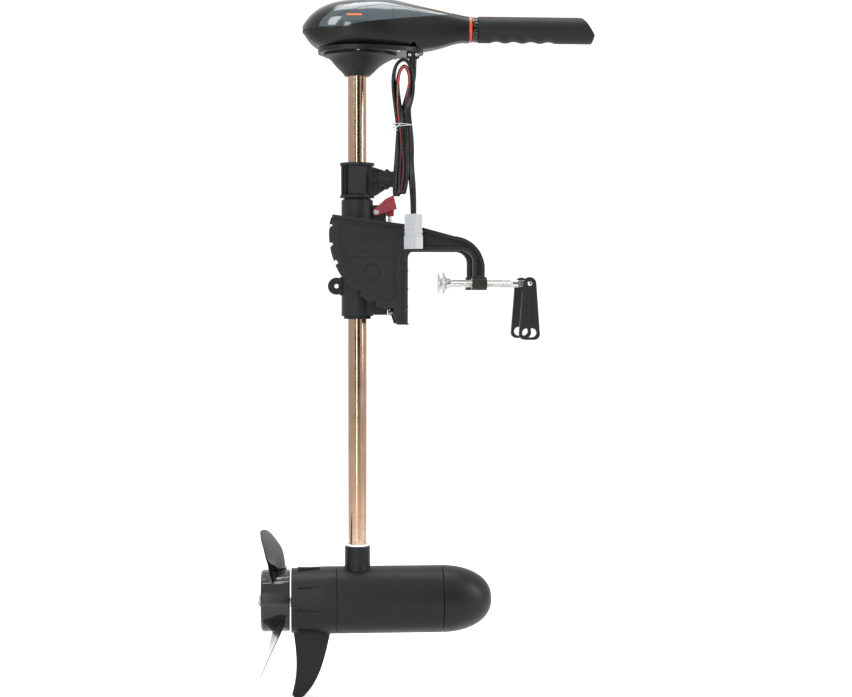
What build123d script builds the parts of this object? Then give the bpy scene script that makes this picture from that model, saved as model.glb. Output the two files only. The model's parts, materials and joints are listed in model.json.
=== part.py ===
from build123d import *
import math
import os

os.makedirs("parts", exist_ok=True)

# Electric trolling motor for a boat's transom, in millimetres.
# +Z is up, +X points into the boat and +Y to the far side of the bracket.
# The origin lies on the transom clamp face, midway between the two clamp arms,
# at the height of the clamp screws.

# Shaft and depth
shaft_x = -75.0            # steering axis behind the clamp face
shaft_radius = 14.3
shaft_wall = 2.2
shaft_top = 375.0
pod_z = -490.3             # centre line of the motor pod
slide_fit = 0.06           # radial play of the shaft in its collar and bushes
pin_fit = 0.08             # radial play of hinge pins
body_gap = 0.4             # air between pieces that move past each other

# Clamp bracket
side_inner = 40.0          # half the space between the two side castings
plate_thickness = 10.0
arm_thickness = 14.0
tilt_x = 6.0
tilt_z = 78.0
quadrant_radius = 124.0
tilt_pitch = 13.5          # degrees from one tilt notch to the next
tilt_notches = 7
leg_front = -6.0
leg_bottom = -62.5
transom_plate_top = 32.5
arm_under = 50.0           # underside of the arms, above the screws
arm_inner_x = 99.5
arm_outer_x = 117.0
arm_rim = 5.5
arm_web = 5.0
screw_y = 50.0
boss_radius = 10.0
boss_start = 97.5
boss_length = 22.5
tilt_bolt_radius = 5.0
tilt_barrel_radius = 13.0
tilt_seat_radius = 10.5     # flat seats of the tilt bolt in the arms

# Tilt lock
lock_x = -24.5
lock_bar_radius = 2.0
lock_rod_radius = 2.7
lock_travel = 5.0
notch_width = 2 * lock_bar_radius + 2.4
lock_bar_reach = side_inner + plate_thickness - 1.0
lever_x = -46.0
lever_z = 109.5
lever_droop = 8.0          # degrees that the lever hangs below its locked place
lever_cheek = 3.0
ear_half = 8.5

# Steering swivel
sleeve_radius = shaft_radius + 10.0
sleeve_bore = shaft_radius + 3.7
sleeve_bottom = -50.0
sleeve_top = 128.0
bush_flange_top = 2.0
bush_flange_low = 4.5
swivel_half = 20.0
tow_eye_x = -107.0
tow_eye_z = -4.0
tow_eye_radius = 13.3
tow_eye_hole = 3.3
tow_eye_thickness = 10.0

# Depth collar
washer_thickness = 1.3
collar_height = 53.4
collar_radius = shaft_radius + 7.2
collar_flange = collar_radius + 5.0
collar_flange_height = 4.0
collar_split = 3.0
collar_ear_half = 15.0
knob_x = -30.5
knob_radius = 15.5
knob_lobes = 8
collar_bolt_radius = 4.0

# Control head
head_wall = 3.0
neck_x = 96.5
neck_radius = 20.2
tiller_z = 391.2
bell_bottom = 318.0
base_plate_z = 348.0
rim_bottom = 352.0
rim_height = 7.0
gland_x = 9.0
gland_y = -30.0
gland_drop = 10.0

# Tiller
tube_radius = 12.0
tube_wall = 3.0
tube_inside = 121.5        # length held inside the head when pushed in
neck_ring_width = 4.2
tiller_collar_width = 9.2
grip_length = 180.0
rod_side = 6.0
rotor_x = -70.0
rotor_length = 12.0

# Clamp screws
screw_radius = 6.0
screw_tip_radius = 4.0
pad_x = 53.5
pad_radius = 17.0
pad_hub_end = 64.5
tongue_x = 168.0
tongue_thickness = 5.0
toggle_x = 186.0
toggle_hub = 10.0
toggle_thickness = 9.0
toggle_reach = 77.0
toggle_pin_radius = 2.5

# Motor pod
pod_radius = 52.0
pod_wall = 3.0
stub_height = 12.0
housing_rear = -108.0
housing_front = 56.4
nose_tip = 133.8
cap_rear = -177.5
pod_collar_top = -406.0
pod_collar_radius = shaft_radius + 5.4
motor_shaft_radius = 5.0
armature_radius = 30.0
magnet_thickness = 8.0

# Propeller
hub_radius = pod_radius - 4.0
hub_rear = cap_rear - 46.3
hub_wall = 5.0
prop_radius = 124.0
blade_count = 3
blade_phase = 15.0

# Supply lead
cord_width = 10.4
cord_thickness = 5.2
plug_x = 7.0
plug_y = -76.0
plug_top = 104.0
plug_split = 70.0
plug_bottom = 52.0
plug_width = 30.0
plug_depth = 14.0
plug_turn = 55.0           # degrees that the plug's broad face turns from -Y


def keep(builder, label):
    """Label a finished piece and write it as its own STEP file."""
    builder.part.label = label
    export_step(builder.part, f"parts/{label}.step")
    print(f"{label}: {builder.part.volume:.0f} mm3")


def across(y_high):
    """Plane for an XZ profile whose extrusion runs from y_high towards -Y."""
    return Plane.XZ.offset(-y_high)


def mirrored(builder):
    """The same piece on the other side of the bracket."""
    return mirror(builder.part, about=Plane.XZ, mode=Mode.PRIVATE)


pod_plane = Plane(origin=(0, 0, pod_z), x_dir=(1, 0, 0), z_dir=(0, -1, 0))
arm_outer = side_inner + arm_thickness
plate_outer = side_inner + plate_thickness
tilt_centre = (tilt_x, tilt_z)

# The lock bar rests just outside the quadrant, straight below its rod.
bar_rest_radius = quadrant_radius + lock_bar_radius + body_gap
bar_z = tilt_z - math.sqrt(bar_rest_radius**2 - (tilt_x - lock_x) ** 2)
notch_roof = bar_z + lock_travel + lock_bar_radius + body_gap

# ---------------------------------------------------------------- clamp sides
with BuildPart() as clamp_side_near:
    with BuildSketch(across(-side_inner)):
        with BuildLine():
            rim = CenterArc(tilt_centre, quadrant_radius, 170, 86.5)
            Polyline(
                rim @ 1,
                (-16, leg_bottom),
                (leg_front, leg_bottom),
                (leg_front, 89),
                rim @ 0,
            )
        make_face()
        with Locations(tilt_centre):
            with PolarLocations(0, tilt_notches, 0, -tilt_pitch * (tilt_notches - 1), endpoint=True):
                with Locations((lock_x - tilt_x, (notch_roof + bar_z - 12) / 2 - tilt_z)):
                    Rectangle(notch_width, notch_roof - bar_z + 12, mode=Mode.SUBTRACT)
    extrude(amount=plate_thickness)
    # top flange and arm
    with BuildSketch(across(-side_inner)):
        with BuildLine():
            Polyline((-114, 104.2), (-7, 90.2), (-7, 85.6), (-114.6, 99.6), (-114, 104.2))
        make_face()
        with BuildLine():
            Polyline((-7, 90.2), (21.7, 85), (71, 71.8))
            ThreePointArc((71, 71.8), (105.5, 54.2), (arm_outer_x, 24))
            Polyline((arm_outer_x, 24), (arm_outer_x, 0), (arm_inner_x, 0), (arm_inner_x, 33))
            ThreePointArc((arm_inner_x, 33), (94, 45), (80, arm_under))
            Line((80, arm_under), (12, arm_under))
            ThreePointArc((12, arm_under), (3.5, 46.5), (0, 38))
            Polyline((0, 38), (0, transom_plate_top), (-7, transom_plate_top), (-7, 90.2))
        make_face()
    extrude(amount=arm_thickness)
    # pockets that leave a web along the middle of the arm
    for plane, depth in (
        (across(-side_inner), (arm_thickness - arm_web) / 2),
        (across(-arm_outer + (arm_thickness - arm_web) / 2), (arm_thickness - arm_web) / 2),
    ):
        with BuildSketch(plane):
            with BuildLine():
                Polyline((24, 84.4 - arm_rim), (70, 72 - arm_rim))
                ThreePointArc((70, 72 - arm_rim), (101, 50.7), (arm_outer_x - arm_rim, 24))
                Polyline(
                    (arm_outer_x - arm_rim, 24),
                    (arm_outer_x - arm_rim, boss_radius + 3),
                    (arm_inner_x + arm_rim, boss_radius + 3),
                    (arm_inner_x + arm_rim, 34),
                )
                ThreePointArc((arm_inner_x + arm_rim, 34), (98.2, 49.6), (81, arm_under + arm_rim))
                Polyline((81, arm_under + arm_rim), (24, arm_under + arm_rim), (24, 84.4 - arm_rim))
            make_face()
        extrude(amount=depth, mode=Mode.SUBTRACT)
    # screw boss
    with BuildSketch(Plane.YZ.offset(boss_start)):
        with Locations((-screw_y, 0)):
            Circle(boss_radius)
    extrude(amount=boss_length)
    # seat of the tilt bolt's head
    with BuildSketch(across(-plate_outer)):
        with Locations(tilt_centre):
            Circle(tilt_seat_radius)
    extrude(amount=arm_outer - plate_outer, mode=Mode.SUBTRACT)
    # shallow panel with its dividing line and ring
    with BuildSketch(across(-plate_outer + 1.5)):
        with BuildLine():
            sweep_arc = CenterArc(tilt_centre, quadrant_radius - 13.5, 186, 67)
            Polyline(sweep_arc @ 1, (-17, -18), (-17, 80), (-24, 84.5), (-101.5, 92), sweep_arc @ 0)
        make_face()
    extrude(amount=1.5, mode=Mode.SUBTRACT)
    with BuildSketch(across(-plate_outer + 2.5)):
        with Locations((-56, 39.7)):
            Rectangle(78, 1.2)
        with Locations((-54, 17)):
            Circle(13)
            Circle(10.6, mode=Mode.SUBTRACT)
    extrude(amount=1.0, mode=Mode.SUBTRACT)
    # holes
    with BuildSketch(across(0)):
        with Locations(tilt_centre):
            Circle(tilt_bolt_radius)
    extrude(amount=arm_outer + 5, mode=Mode.SUBTRACT)
    with BuildSketch(Plane.YZ.offset(boss_start)):
        with Locations((-screw_y, 0)):
            Circle(screw_radius + 2.5)
    extrude(amount=boss_length, mode=Mode.SUBTRACT)
keep(clamp_side_near, "clamp_side_near")

with BuildPart() as clamp_side_far:
    add(mirrored(clamp_side_near))
keep(clamp_side_far, "clamp_side_far")

with BuildPart() as transom_plate:
    with BuildSketch(across(arm_outer)):
        with BuildLine():
            Polyline(
                (leg_front, transom_plate_top),
                (0, transom_plate_top),
                (0, leg_bottom + 2.2),
                (1.5, leg_bottom + 1.6),
                (1.5, leg_bottom),
                (leg_front, leg_bottom),
                (leg_front, transom_plate_top),
            )
        make_face()
    extrude(amount=2 * arm_outer)
    with BuildSketch(across(arm_outer)):
        with Locations((0, 19), (0, -8), (0, -35)):
            Circle(1.0)
    extrude(amount=2 * arm_outer)
    # countersunk seats of the four plate screws
    with Locations(Plane.YZ):
        with GridLocations(2 * (side_inner + 5), 62, 2, 2):
            with Locations((0, -16, 0)):
                CounterSinkHole(2.6, 4.6, depth=8)
keep(transom_plate, "transom_plate")

with BuildPart() as plate_screws:
    with BuildSketch(Plane.YZ.offset(leg_front)):
        with Locations((0, -16)):
            with GridLocations(2 * (side_inner + 5), 62, 2, 2):
                Circle(2.5)
    extrude(amount=3.6)
    with BuildSketch(Plane.YZ.offset(-1.6)):
        with Locations((0, -16)):
            with GridLocations(2 * (side_inner + 5), 62, 2, 2):
                Circle(3.1)
                Rectangle(4.2, 1.0, mode=Mode.SUBTRACT)
    extrude(amount=1.2)
keep(plate_screws, "plate_screws")

with BuildPart() as thread_inserts:
    for side in (-1, 1):
        with BuildSketch(Plane.YZ.offset(boss_start)):
            with Locations((side * screw_y, 0)):
                Circle(screw_radius + 2.5)
                Circle(screw_radius + 0.1, mode=Mode.SUBTRACT)
        extrude(amount=boss_length)
keep(thread_inserts, "thread_inserts")

# The tilt bolt and its nut
with BuildPart() as tilt_bolt:
    with BuildSketch(across(arm_outer + 1)):
        with Locations(tilt_centre):
            Circle(tilt_bolt_radius)
    extrude(amount=arm_outer + 1 + plate_outer)
    with BuildSketch(across(-plate_outer)):
        with Locations(tilt_centre):
            RegularPolygon(8.5, 6)
    extrude(amount=5.5)
    with BuildSketch(across(plate_outer + 4.6)):
        with Locations(tilt_centre):
            RegularPolygon(8.5, 6)
            Circle(tilt_bolt_radius, mode=Mode.SUBTRACT)
    extrude(amount=4.6)
keep(tilt_bolt, "tilt_bolt")

# ------------------------------------------------------------ steering swivel
barrel_half = side_inner - body_gap
with BuildPart() as swivel_casting:
    with BuildSketch(Plane.XY.offset(sleeve_bottom)):
        with Locations((shaft_x, 0)):
            Circle(sleeve_radius)
    extrude(amount=sleeve_top - sleeve_bottom)
    # web that carries the pivot barrel
    with BuildSketch(across(swivel_half)):
        with BuildLine():
            Polyline(
                (shaft_x, -48),
                (-29.7, -48),
                (-29.7, 20),
                (-2, 64.6),
                (tilt_x, 65),
                (tilt_x, 91),
                (-31, 88),
                (-31, 97),
                (shaft_x, 99),
                (shaft_x, -48),
            )
        make_face()
    extrude(amount=2 * swivel_half)
    with BuildSketch(across(barrel_half)):
        with Locations(tilt_centre):
            Circle(tilt_barrel_radius)
    extrude(amount=2 * barrel_half)
    # ear under the release lever
    with BuildSketch(across(ear_half)):
        with BuildLine():
            Polyline((-62, 100), (-31, 92), (-31, 114), (-37, 120.5), (-52, 120.5), (-62, 112), (-62, 100))
        make_face()
    extrude(amount=2 * ear_half)
    # tow eye at the back
    with BuildSketch(across(tow_eye_thickness / 2)):
        with BuildLine():
            Polyline((-90, 11), (-102, 10), (-102, -18), (-90, -20), (-90, 11))
        make_face()
        with Locations((tow_eye_x, tow_eye_z)):
            Circle(tow_eye_radius)
    extrude(amount=tow_eye_thickness)
    # bores
    with BuildSketch(Plane.XY.offset(sleeve_bottom)):
        with Locations((shaft_x, 0)):
            Circle(sleeve_bore)
    extrude(amount=sleeve_top - sleeve_bottom, mode=Mode.SUBTRACT)
    with BuildSketch(across(barrel_half)):
        with Locations(tilt_centre):
            Circle(tilt_bolt_radius + pin_fit)
    extrude(amount=2 * barrel_half, mode=Mode.SUBTRACT)
    with BuildSketch(across(tow_eye_thickness / 2)):
        with Locations((tow_eye_x, tow_eye_z)):
            Circle(tow_eye_hole)
    extrude(amount=tow_eye_thickness, mode=Mode.SUBTRACT)
    with BuildSketch(across(ear_half)):
        with Locations((lever_x, lever_z)):
            Circle(2.5)
    extrude(amount=2 * ear_half, mode=Mode.SUBTRACT)
    # guide hole of the lock rod and the pocket of its spring
    with BuildSketch(Plane.XY.offset(0)):
        with Locations((lock_x, 0)):
            Circle(lock_rod_radius + pin_fit)
    extrude(amount=110, mode=Mode.SUBTRACT)
    with BuildSketch(Plane.XY.offset(66)):
        with Locations((lock_x, 0)):
            Circle(5.2)
    extrude(amount=40, mode=Mode.SUBTRACT)
keep(swivel_casting, "swivel_casting")

with BuildPart() as steering_bushes:
    for base, length, flange_base, flange_height, flange_radius in (
        (sleeve_top - 30, 30, sleeve_top, bush_flange_top, sleeve_radius - 2.5),
        (sleeve_bottom, 30, sleeve_bottom - bush_flange_low, bush_flange_low, sleeve_radius - 3.3),
    ):
        with BuildSketch(Plane.XY.offset(base)):
            with Locations((shaft_x, 0)):
                Circle(sleeve_bore)
                Circle(shaft_radius + slide_fit, mode=Mode.SUBTRACT)
        extrude(amount=length)
        with BuildSketch(Plane.XY.offset(flange_base)):
            with Locations((shaft_x, 0)):
                Circle(flange_radius)
                Circle(shaft_radius + slide_fit, mode=Mode.SUBTRACT)
        extrude(amount=flange_height)
keep(steering_bushes, "steering_bushes")

lever_pin_half = ear_half + body_gap + lever_cheek
with BuildPart() as lever_pin:
    with BuildSketch(across(lever_pin_half)):
        with Locations((lever_x, lever_z)):
            Circle(2.5)
    extrude(amount=2 * lever_pin_half)
    for start in (lever_pin_half + 1.4, -lever_pin_half):
        with BuildSketch(across(start)):
            with Locations((lever_x, lever_z)):
                Circle(4.0)
        extrude(amount=1.4)
keep(lever_pin, "lever_pin")

spring_low = 66.0
spring_high = 80.5
with BuildPart() as lock_spring:
    with BuildLine(Plane(origin=(lock_x, 0, spring_low + 0.7))) as coil:
        Helix(pitch=(spring_high - spring_low - 1.4) / 5, height=spring_high - spring_low - 1.4, radius=4.1)
    with BuildSketch(Plane(origin=coil.line @ 0, z_dir=coil.line % 0)):
        Circle(0.6)
    sweep()
keep(lock_spring, "lock_spring")

# ------------------------------------------------------------------ tilt lock
cap_bottom = 104.0
cap_height = 9.5
with BuildPart() as lock_rod:
    with BuildSketch(Plane.XY.offset(bar_z - 4.5)):
        with Locations((lock_x, 0)):
            Circle(lock_rod_radius)
    extrude(amount=cap_bottom + 4 - (bar_z - 4.5))
    with BuildSketch(Plane.XY.offset(spring_high)):
        with Locations((lock_x, 0)):
            Circle(4.8)
    extrude(amount=2)
    with BuildSketch(across(lock_bar_reach)):
        with Locations((lock_x, bar_z)):
            Circle(lock_bar_radius)
    extrude(amount=2 * lock_bar_reach)
keep(lock_rod, "lock_rod")

with BuildPart() as lock_cap:
    with BuildSketch(across(ear_half - 1)):
        with Locations((lock_x, cap_bottom + cap_height / 2)):
            RectangleRounded(11.4, cap_height, 1.5)
    extrude(amount=2 * (ear_half - 1))
    with BuildSketch(Plane.XY.offset(cap_bottom - 1)):
        with Locations((lock_x, 0)):
            Circle(lock_rod_radius)
    extrude(amount=5, mode=Mode.SUBTRACT)
keep(lock_cap, "lock_cap")

# The release lever straddles the ear, and its thumb pad bridges the cheeks.
droop = math.radians(lever_droop)
lever_plane = Plane(
    origin=(lever_x, 0, lever_z),
    x_dir=(math.cos(droop), 0, -math.sin(droop)),
    z_dir=(0, -1, 0),
)
lever_half = ear_half + body_gap + lever_cheek
with BuildPart() as release_lever:
    for start in (lever_half, -(ear_half + body_gap)):
        with BuildSketch(lever_plane.offset(-start)):
            Circle(5.4)
            with BuildLine():
                Polyline((-3.8, 3.8), (10, 21), (22.5, 29.5), (30.5, 10), (3.8, -3.8), (-3.8, 3.8))
            make_face()
            Circle(2.5 + pin_fit, mode=Mode.SUBTRACT)
        extrude(amount=lever_cheek)
    # thumb pad
    with BuildSketch(lever_plane.offset(-lever_half)):
        with BuildLine():
            Polyline((10, 21), (22.5, 29.5), (24.8, 24.2), (12, 17), (10, 21))
        make_face()
    extrude(amount=2 * lever_half)
    # bar between the cheeks that presses on the lock cap
    with BuildSketch(lever_plane.offset(-lever_half)):
        with Locations((22.5, 11)):
            Circle(3.4)
    extrude(amount=2 * lever_half)
keep(release_lever, "release_lever")

# --------------------------------------------------------------- depth collar
washer_z = sleeve_top + bush_flange_top + body_gap
collar_z = washer_z + washer_thickness
collar_top = collar_z + collar_height
knob_z = collar_z + collar_height / 2 + 0.6
with BuildPart() as thrust_washer:
    with BuildSketch(Plane.XY.offset(washer_z)):
        with Locations((shaft_x, 0)):
            Circle(19.7)
            Circle(shaft_radius + slide_fit, mode=Mode.SUBTRACT)
    extrude(amount=washer_thickness)
keep(thrust_washer, "thrust_washer")

with BuildPart() as depth_collar:
    with BuildSketch(Plane.XY.offset(collar_z)):
        with Locations((shaft_x, 0)):
            Circle(collar_radius)
    extrude(amount=collar_height)
    for base in (collar_z, collar_top - collar_flange_height):
        with BuildSketch(Plane.XY.offset(base)):
            with Locations((shaft_x, 0)):
                Circle(collar_flange)
        extrude(amount=collar_flange_height)
    # raised block on the front
    with BuildSketch(across(-collar_radius + 6)):
        with Locations((shaft_x, collar_z + collar_height / 2)):
            RectangleRounded(25.5, 42.5, 2)
    extrude(amount=collar_flange - collar_radius + 5)
    # clamping ears
    with BuildSketch(across(collar_ear_half)):
        with BuildLine():
            Polyline(
                (shaft_x + 15, collar_top - 4),
                (-37, collar_top - 11),
                (knob_x + 3, knob_z + 10),
                (knob_x + 9, knob_z),
                (knob_x + 3, knob_z - 11),
                (-46, collar_z + 4),
                (shaft_x + 15, collar_z + 4),
                (shaft_x + 15, collar_top - 4),
            )
        make_face()
    extrude(amount=2 * collar_ear_half)
    with BuildSketch(across(collar_ear_half)):
        with BuildLine():
            Polyline((-52, knob_z + 3), (-40, knob_z + 2), (-40, knob_z + 13), (-52, knob_z + 16), (-52, knob_z + 3))
        make_face()
        with BuildLine():
            Polyline((-52, knob_z - 3), (-40, knob_z - 2), (-40, knob_z - 13), (-52, knob_z - 17), (-52, knob_z - 3))
        make_face()
    extrude(amount=4, mode=Mode.SUBTRACT)
    with BuildSketch(across(-collar_ear_half + 4)):
        with BuildLine():
            Polyline((-52, knob_z + 3), (-40, knob_z + 2), (-40, knob_z + 13), (-52, knob_z + 16), (-52, knob_z + 3))
        make_face()
        with BuildLine():
            Polyline((-52, knob_z - 3), (-40, knob_z - 2), (-40, knob_z - 13), (-52, knob_z - 17), (-52, knob_z - 3))
        make_face()
    extrude(amount=4, mode=Mode.SUBTRACT)
    # bore, split and bolt hole
    with BuildSketch(Plane.XY.offset(collar_z)):
        with Locations((shaft_x, 0)):
            Circle(shaft_radius + slide_fit)
        with Locations((shaft_x + 35, 0)):
            Rectangle(70, collar_split)
    extrude(amount=collar_height, mode=Mode.SUBTRACT)
    with BuildSketch(across(collar_ear_half)):
        with Locations((knob_x, knob_z)):
            Circle(collar_bolt_radius)
    extrude(amount=2 * collar_ear_half, mode=Mode.SUBTRACT)
keep(depth_collar, "depth_collar")

with BuildPart() as collar_bolt:
    with BuildSketch(across(collar_ear_half)):
        with Locations((knob_x, knob_z)):
            Circle(collar_bolt_radius - pin_fit)
    extrude(amount=2 * collar_ear_half + 13)
    with BuildSketch(across(collar_ear_half + 5)):
        with Locations((knob_x, knob_z)):
            RegularPolygon(7.0, 6)
    extrude(amount=5)
keep(collar_bolt, "collar_bolt")

knob_face = -collar_ear_half - body_gap
with BuildPart() as depth_knob:
    with BuildSketch(across(knob_face)):
        with Locations((knob_x, knob_z)):
            Circle(8.0)
    extrude(amount=4)
    with BuildSketch(across(knob_face - 4)):
        with Locations((knob_x, knob_z)):
            Circle(knob_radius - 2.2)
            with PolarLocations(knob_radius - 3.2, knob_lobes):
                Circle(3.2)
    extrude(amount=10)
    with BuildSketch(across(knob_face - 14)):
        with Locations((knob_x, knob_z)):
            Circle(8.8)
    extrude(amount=2.4)
    with BuildSketch(across(knob_face)):
        with Locations((knob_x, knob_z)):
            Circle(collar_bolt_radius)
    extrude(amount=15, mode=Mode.SUBTRACT)
keep(depth_knob, "depth_knob")

# ----------------------------------------------------------------- mast tube
tube_low = pod_z + pod_radius - pod_wall
with BuildPart() as shaft_tube:
    with BuildSketch(Plane.XY.offset(tube_low)):
        with Locations((shaft_x, 0)):
            Circle(shaft_radius)
            Circle(shaft_radius - shaft_wall, mode=Mode.SUBTRACT)
    extrude(amount=shaft_top - tube_low)
keep(shaft_tube, "shaft_tube")

with BuildPart() as motor_leads:
    with BuildSketch(Plane.XY.offset(tube_low + 2)):
        with Locations((shaft_x, -3.2), (shaft_x, 3.2)):
            Circle(2.4)
    extrude(amount=shaft_top - tube_low - 4)
keep(motor_leads, "motor_leads")

# --------------------------------------------------------------- control head
# Stations along the head: place, half width, widest height, top and bottom.
head_stations = (
    (-158.5, 9, 389, 394, 384),
    (-152, 24, 389, 404, 376),
    (-141, 38, 389, 415, 365),
    (-122, 50, 388, 426, 357),
    (-95, 57, 388, 433, 354),
    (-60, 57, 389, 436.5, 354),
    (-25, 51, 390, 436, 354),
    (10, 40, 391, 429, 356),
    (45, 29, 391, 422, 361),
    (75, 22, 391.2, 415.5, 369.5),
    (neck_x, neck_radius, tiller_z, tiller_z + neck_radius, tiller_z - neck_radius),
)


def head_form(inset):
    """Sections of the head's outer form, or of its inside at a wall's distance."""
    sections = []
    for place, half, middle, top, bottom in head_stations:
        if inset and place in (head_stations[0][0], neck_x):
            continue
        reach = half - inset
        floor = bottom + inset
        shoulder = middle - 0.62 * (middle - floor)
        with BuildSketch(Plane.YZ.offset(place)) as section:
            with BuildLine():
                EllipticalCenterArc((0, middle), reach, top - middle - inset, start_angle=0, arc_size=180)
                Bezier((-reach, middle), (-reach, shoulder), (-0.8 * reach, floor), (-0.4 * reach, floor))
                Line((-0.4 * reach, floor), (0.4 * reach, floor))
                Bezier((0.4 * reach, floor), (0.8 * reach, floor), (reach, shoulder), (reach, middle))
            make_face()
        sections.append(section.sketch)
    return sections


def above_seam():
    """Everything above the line where the top cover sits on the housing."""
    with BuildSketch(across(80)) as region:
        with BuildLine():
            Polyline(
                (-170, 387.5),
                (-104.8, 383.6),
                (-64.6, 391.4),
                (50.2, 407.7),
                (84, 419),
                (84, 460),
                (-170, 460),
                (-170, 387.5),
            )
        make_face()
    return region.sketch


with BuildPart() as head_inside:
    loft(head_form(head_wall))

with BuildPart() as top_cover:
    loft(head_form(0))
    extrude(above_seam(), amount=160, mode=Mode.INTERSECT)
    add(head_inside.part, mode=Mode.SUBTRACT)
    # shallow seat of the strip along the top
    with BuildSketch(Plane.XY.offset(400)) as strip_seat:
        with BuildLine():
            Polyline((-30, 15), (76, 9), (76, -9), (-30, -15), (-30, 15))
        make_face()
        fillet(strip_seat.vertices(), 4)
    extrude(amount=60, mode=Mode.SUBTRACT)
keep(top_cover, "top_cover")

with BuildPart() as lower_housing:
    loft(head_form(0))
    # rim around the base
    with BuildSketch(Plane.XY.offset(rim_bottom)):
        with BuildLine():
            CenterArc((shaft_x, 0), 60, 90, 180)
            Spline(
                (shaft_x, -60),
                (-25, -52),
                (13, -32),
                (27, 0),
                (13, 32),
                (-25, 52),
                (shaft_x, 60),
                tangents=((1, 0), (-1, 0)),
            )
        make_face()
    extrude(amount=rim_height)
    extrude(above_seam(), amount=160, mode=Mode.SUBTRACT)
    add(head_inside.part, mode=Mode.SUBTRACT)
    # solid neck round the tiller tube
    with BuildSketch(Plane.YZ.offset(50)):
        with Locations((0, tiller_z)):
            Circle(15.5)
    extrude(amount=neck_x - 50)
    with BuildSketch(Plane.YZ.offset(45)):
        with Locations((0, tiller_z)):
            Circle(tube_radius + body_gap)
    extrude(amount=60, mode=Mode.SUBTRACT)
    with BuildSketch(Plane.XY.offset(rim_bottom - 5)):
        with Locations((shaft_x, 0)):
            Circle(shaft_radius)
        with Locations((gland_x, gland_y)):
            Circle(5)
    extrude(amount=20, mode=Mode.SUBTRACT)
keep(lower_housing, "lower_housing")

# The strip fills its seat in the cover, from the cover's inside to its surface.
with BuildPart() as accent_strip:
    loft(head_form(0))
    extrude(above_seam(), amount=160, mode=Mode.INTERSECT)
    add(head_inside.part, mode=Mode.SUBTRACT)
    with BuildSketch(Plane.XY.offset(400)) as strip_outline:
        with BuildLine():
            Polyline((-30, 15), (76, 9), (76, -9), (-30, -15), (-30, 15))
        make_face()
        fillet(strip_outline.vertices(), 4)
    extrude(amount=60, mode=Mode.INTERSECT)
keep(accent_strip, "accent_strip")

with BuildPart() as head_base:
    sections = []
    for height, middle, half_x, half_y in (
        (base_plate_z, -70, 56, 50),
        (343, -70, 46, 42),
        (336, -73, 37, 35),
        (327, -74, 27.5, 27),
        (bell_bottom, shaft_x, 19, 19),
    ):
        with BuildSketch(Plane.XY.offset(height)) as section:
            with Locations((middle, 0)):
                Ellipse(half_x, half_y)
        sections.append(section.sketch)
    loft(sections)
    with BuildSketch(Plane.XY.offset(base_plate_z)):
        with Locations((-70, 0)):
            Ellipse(56, 50)
    extrude(amount=rim_bottom - base_plate_z)
    with BuildSketch(Plane.XY.offset(bell_bottom)):
        with Locations((shaft_x, 0)):
            Circle(shaft_radius)
    extrude(amount=40, mode=Mode.SUBTRACT)
keep(head_base, "head_base")

with BuildPart() as neck_ring:
    with BuildSketch(Plane.YZ.offset(neck_x)):
        with Locations((0, tiller_z)):
            Circle(neck_radius)
            Circle(tube_radius + body_gap, mode=Mode.SUBTRACT)
    extrude(amount=neck_ring_width)
keep(neck_ring, "neck_ring")

with BuildPart() as cord_gland:
    with BuildSketch(Plane.XY.offset(rim_bottom - gland_drop)):
        with Locations((gland_x, gland_y)):
            RectangleRounded(19, 12, 3)
    extrude(amount=gland_drop)
    with BuildSketch(Plane.XY.offset(rim_bottom)):
        with Locations((gland_x, gland_y)):
            Circle(5)
    extrude(amount=8)
keep(cord_gland, "cord_gland")

switch_top = tiller_z + 11
with BuildPart() as circuit_board:
    with BuildSketch(Plane.XY.offset(412)):
        with Locations((-72, 0)):
            RectangleRounded(58, 62, 6)
    extrude(amount=1.6)
    with BuildSketch(Plane.XY.offset(413.6)):
        with Locations((-72, 0)):
            with GridLocations(9, 12, 5, 3):
                Rectangle(5, 3)
    extrude(amount=2)
    # posts that hold the board down on the switch block
    with BuildSketch(Plane.XY.offset(switch_top)):
        with Locations((-64, -18), (-64, 18)):
            Circle(2.5)
    extrude(amount=412 - switch_top)
keep(circuit_board, "circuit_board")

with BuildPart() as speed_switch:
    with BuildSketch(Plane.YZ.offset(rotor_x - 6)):
        with Locations((0, tiller_z - 2)):
            RectangleRounded(52, 26, 3)
        with Locations((0, tiller_z)):
            Circle(9 + body_gap, mode=Mode.SUBTRACT)
    extrude(amount=rotor_length + 12)
keep(speed_switch, "speed_switch")

with BuildPart() as speed_rotor:
    with BuildSketch(Plane.YZ.offset(rotor_x)):
        with Locations((0, tiller_z)):
            Circle(9)
            Rectangle(rod_side + 2 * body_gap, rod_side + 2 * body_gap, mode=Mode.SUBTRACT)
    extrude(amount=rotor_length)
keep(speed_rotor, "speed_rotor")

with BuildPart() as housing_screws:
    with BuildSketch(Plane.XY.offset(rim_bottom - 1.4)):
        with Locations((shaft_x, -55), (shaft_x, 55), (-14, -44), (-14, 44)):
            Circle(2.6)
            Rectangle(3.6, 0.9, mode=Mode.SUBTRACT)
    extrude(amount=1.4)
keep(housing_screws, "housing_screws")

# -------------------------------------------------------------------- tiller
tube_rear = neck_x - tube_inside
grip_x = neck_x + neck_ring_width + body_gap + tiller_collar_width + body_gap
grip_end = grip_x + grip_length
collar_x = neck_x + neck_ring_width + body_gap
rod_rear = -145.0
with BuildPart() as tiller_tube:
    with BuildSketch(Plane.YZ.offset(tube_rear)):
        with Locations((0, tiller_z)):
            Circle(tube_radius)
            Circle(tube_radius - tube_wall, mode=Mode.SUBTRACT)
    extrude(amount=grip_end - 26 - tube_rear)
keep(tiller_tube, "tiller_tube")

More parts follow.
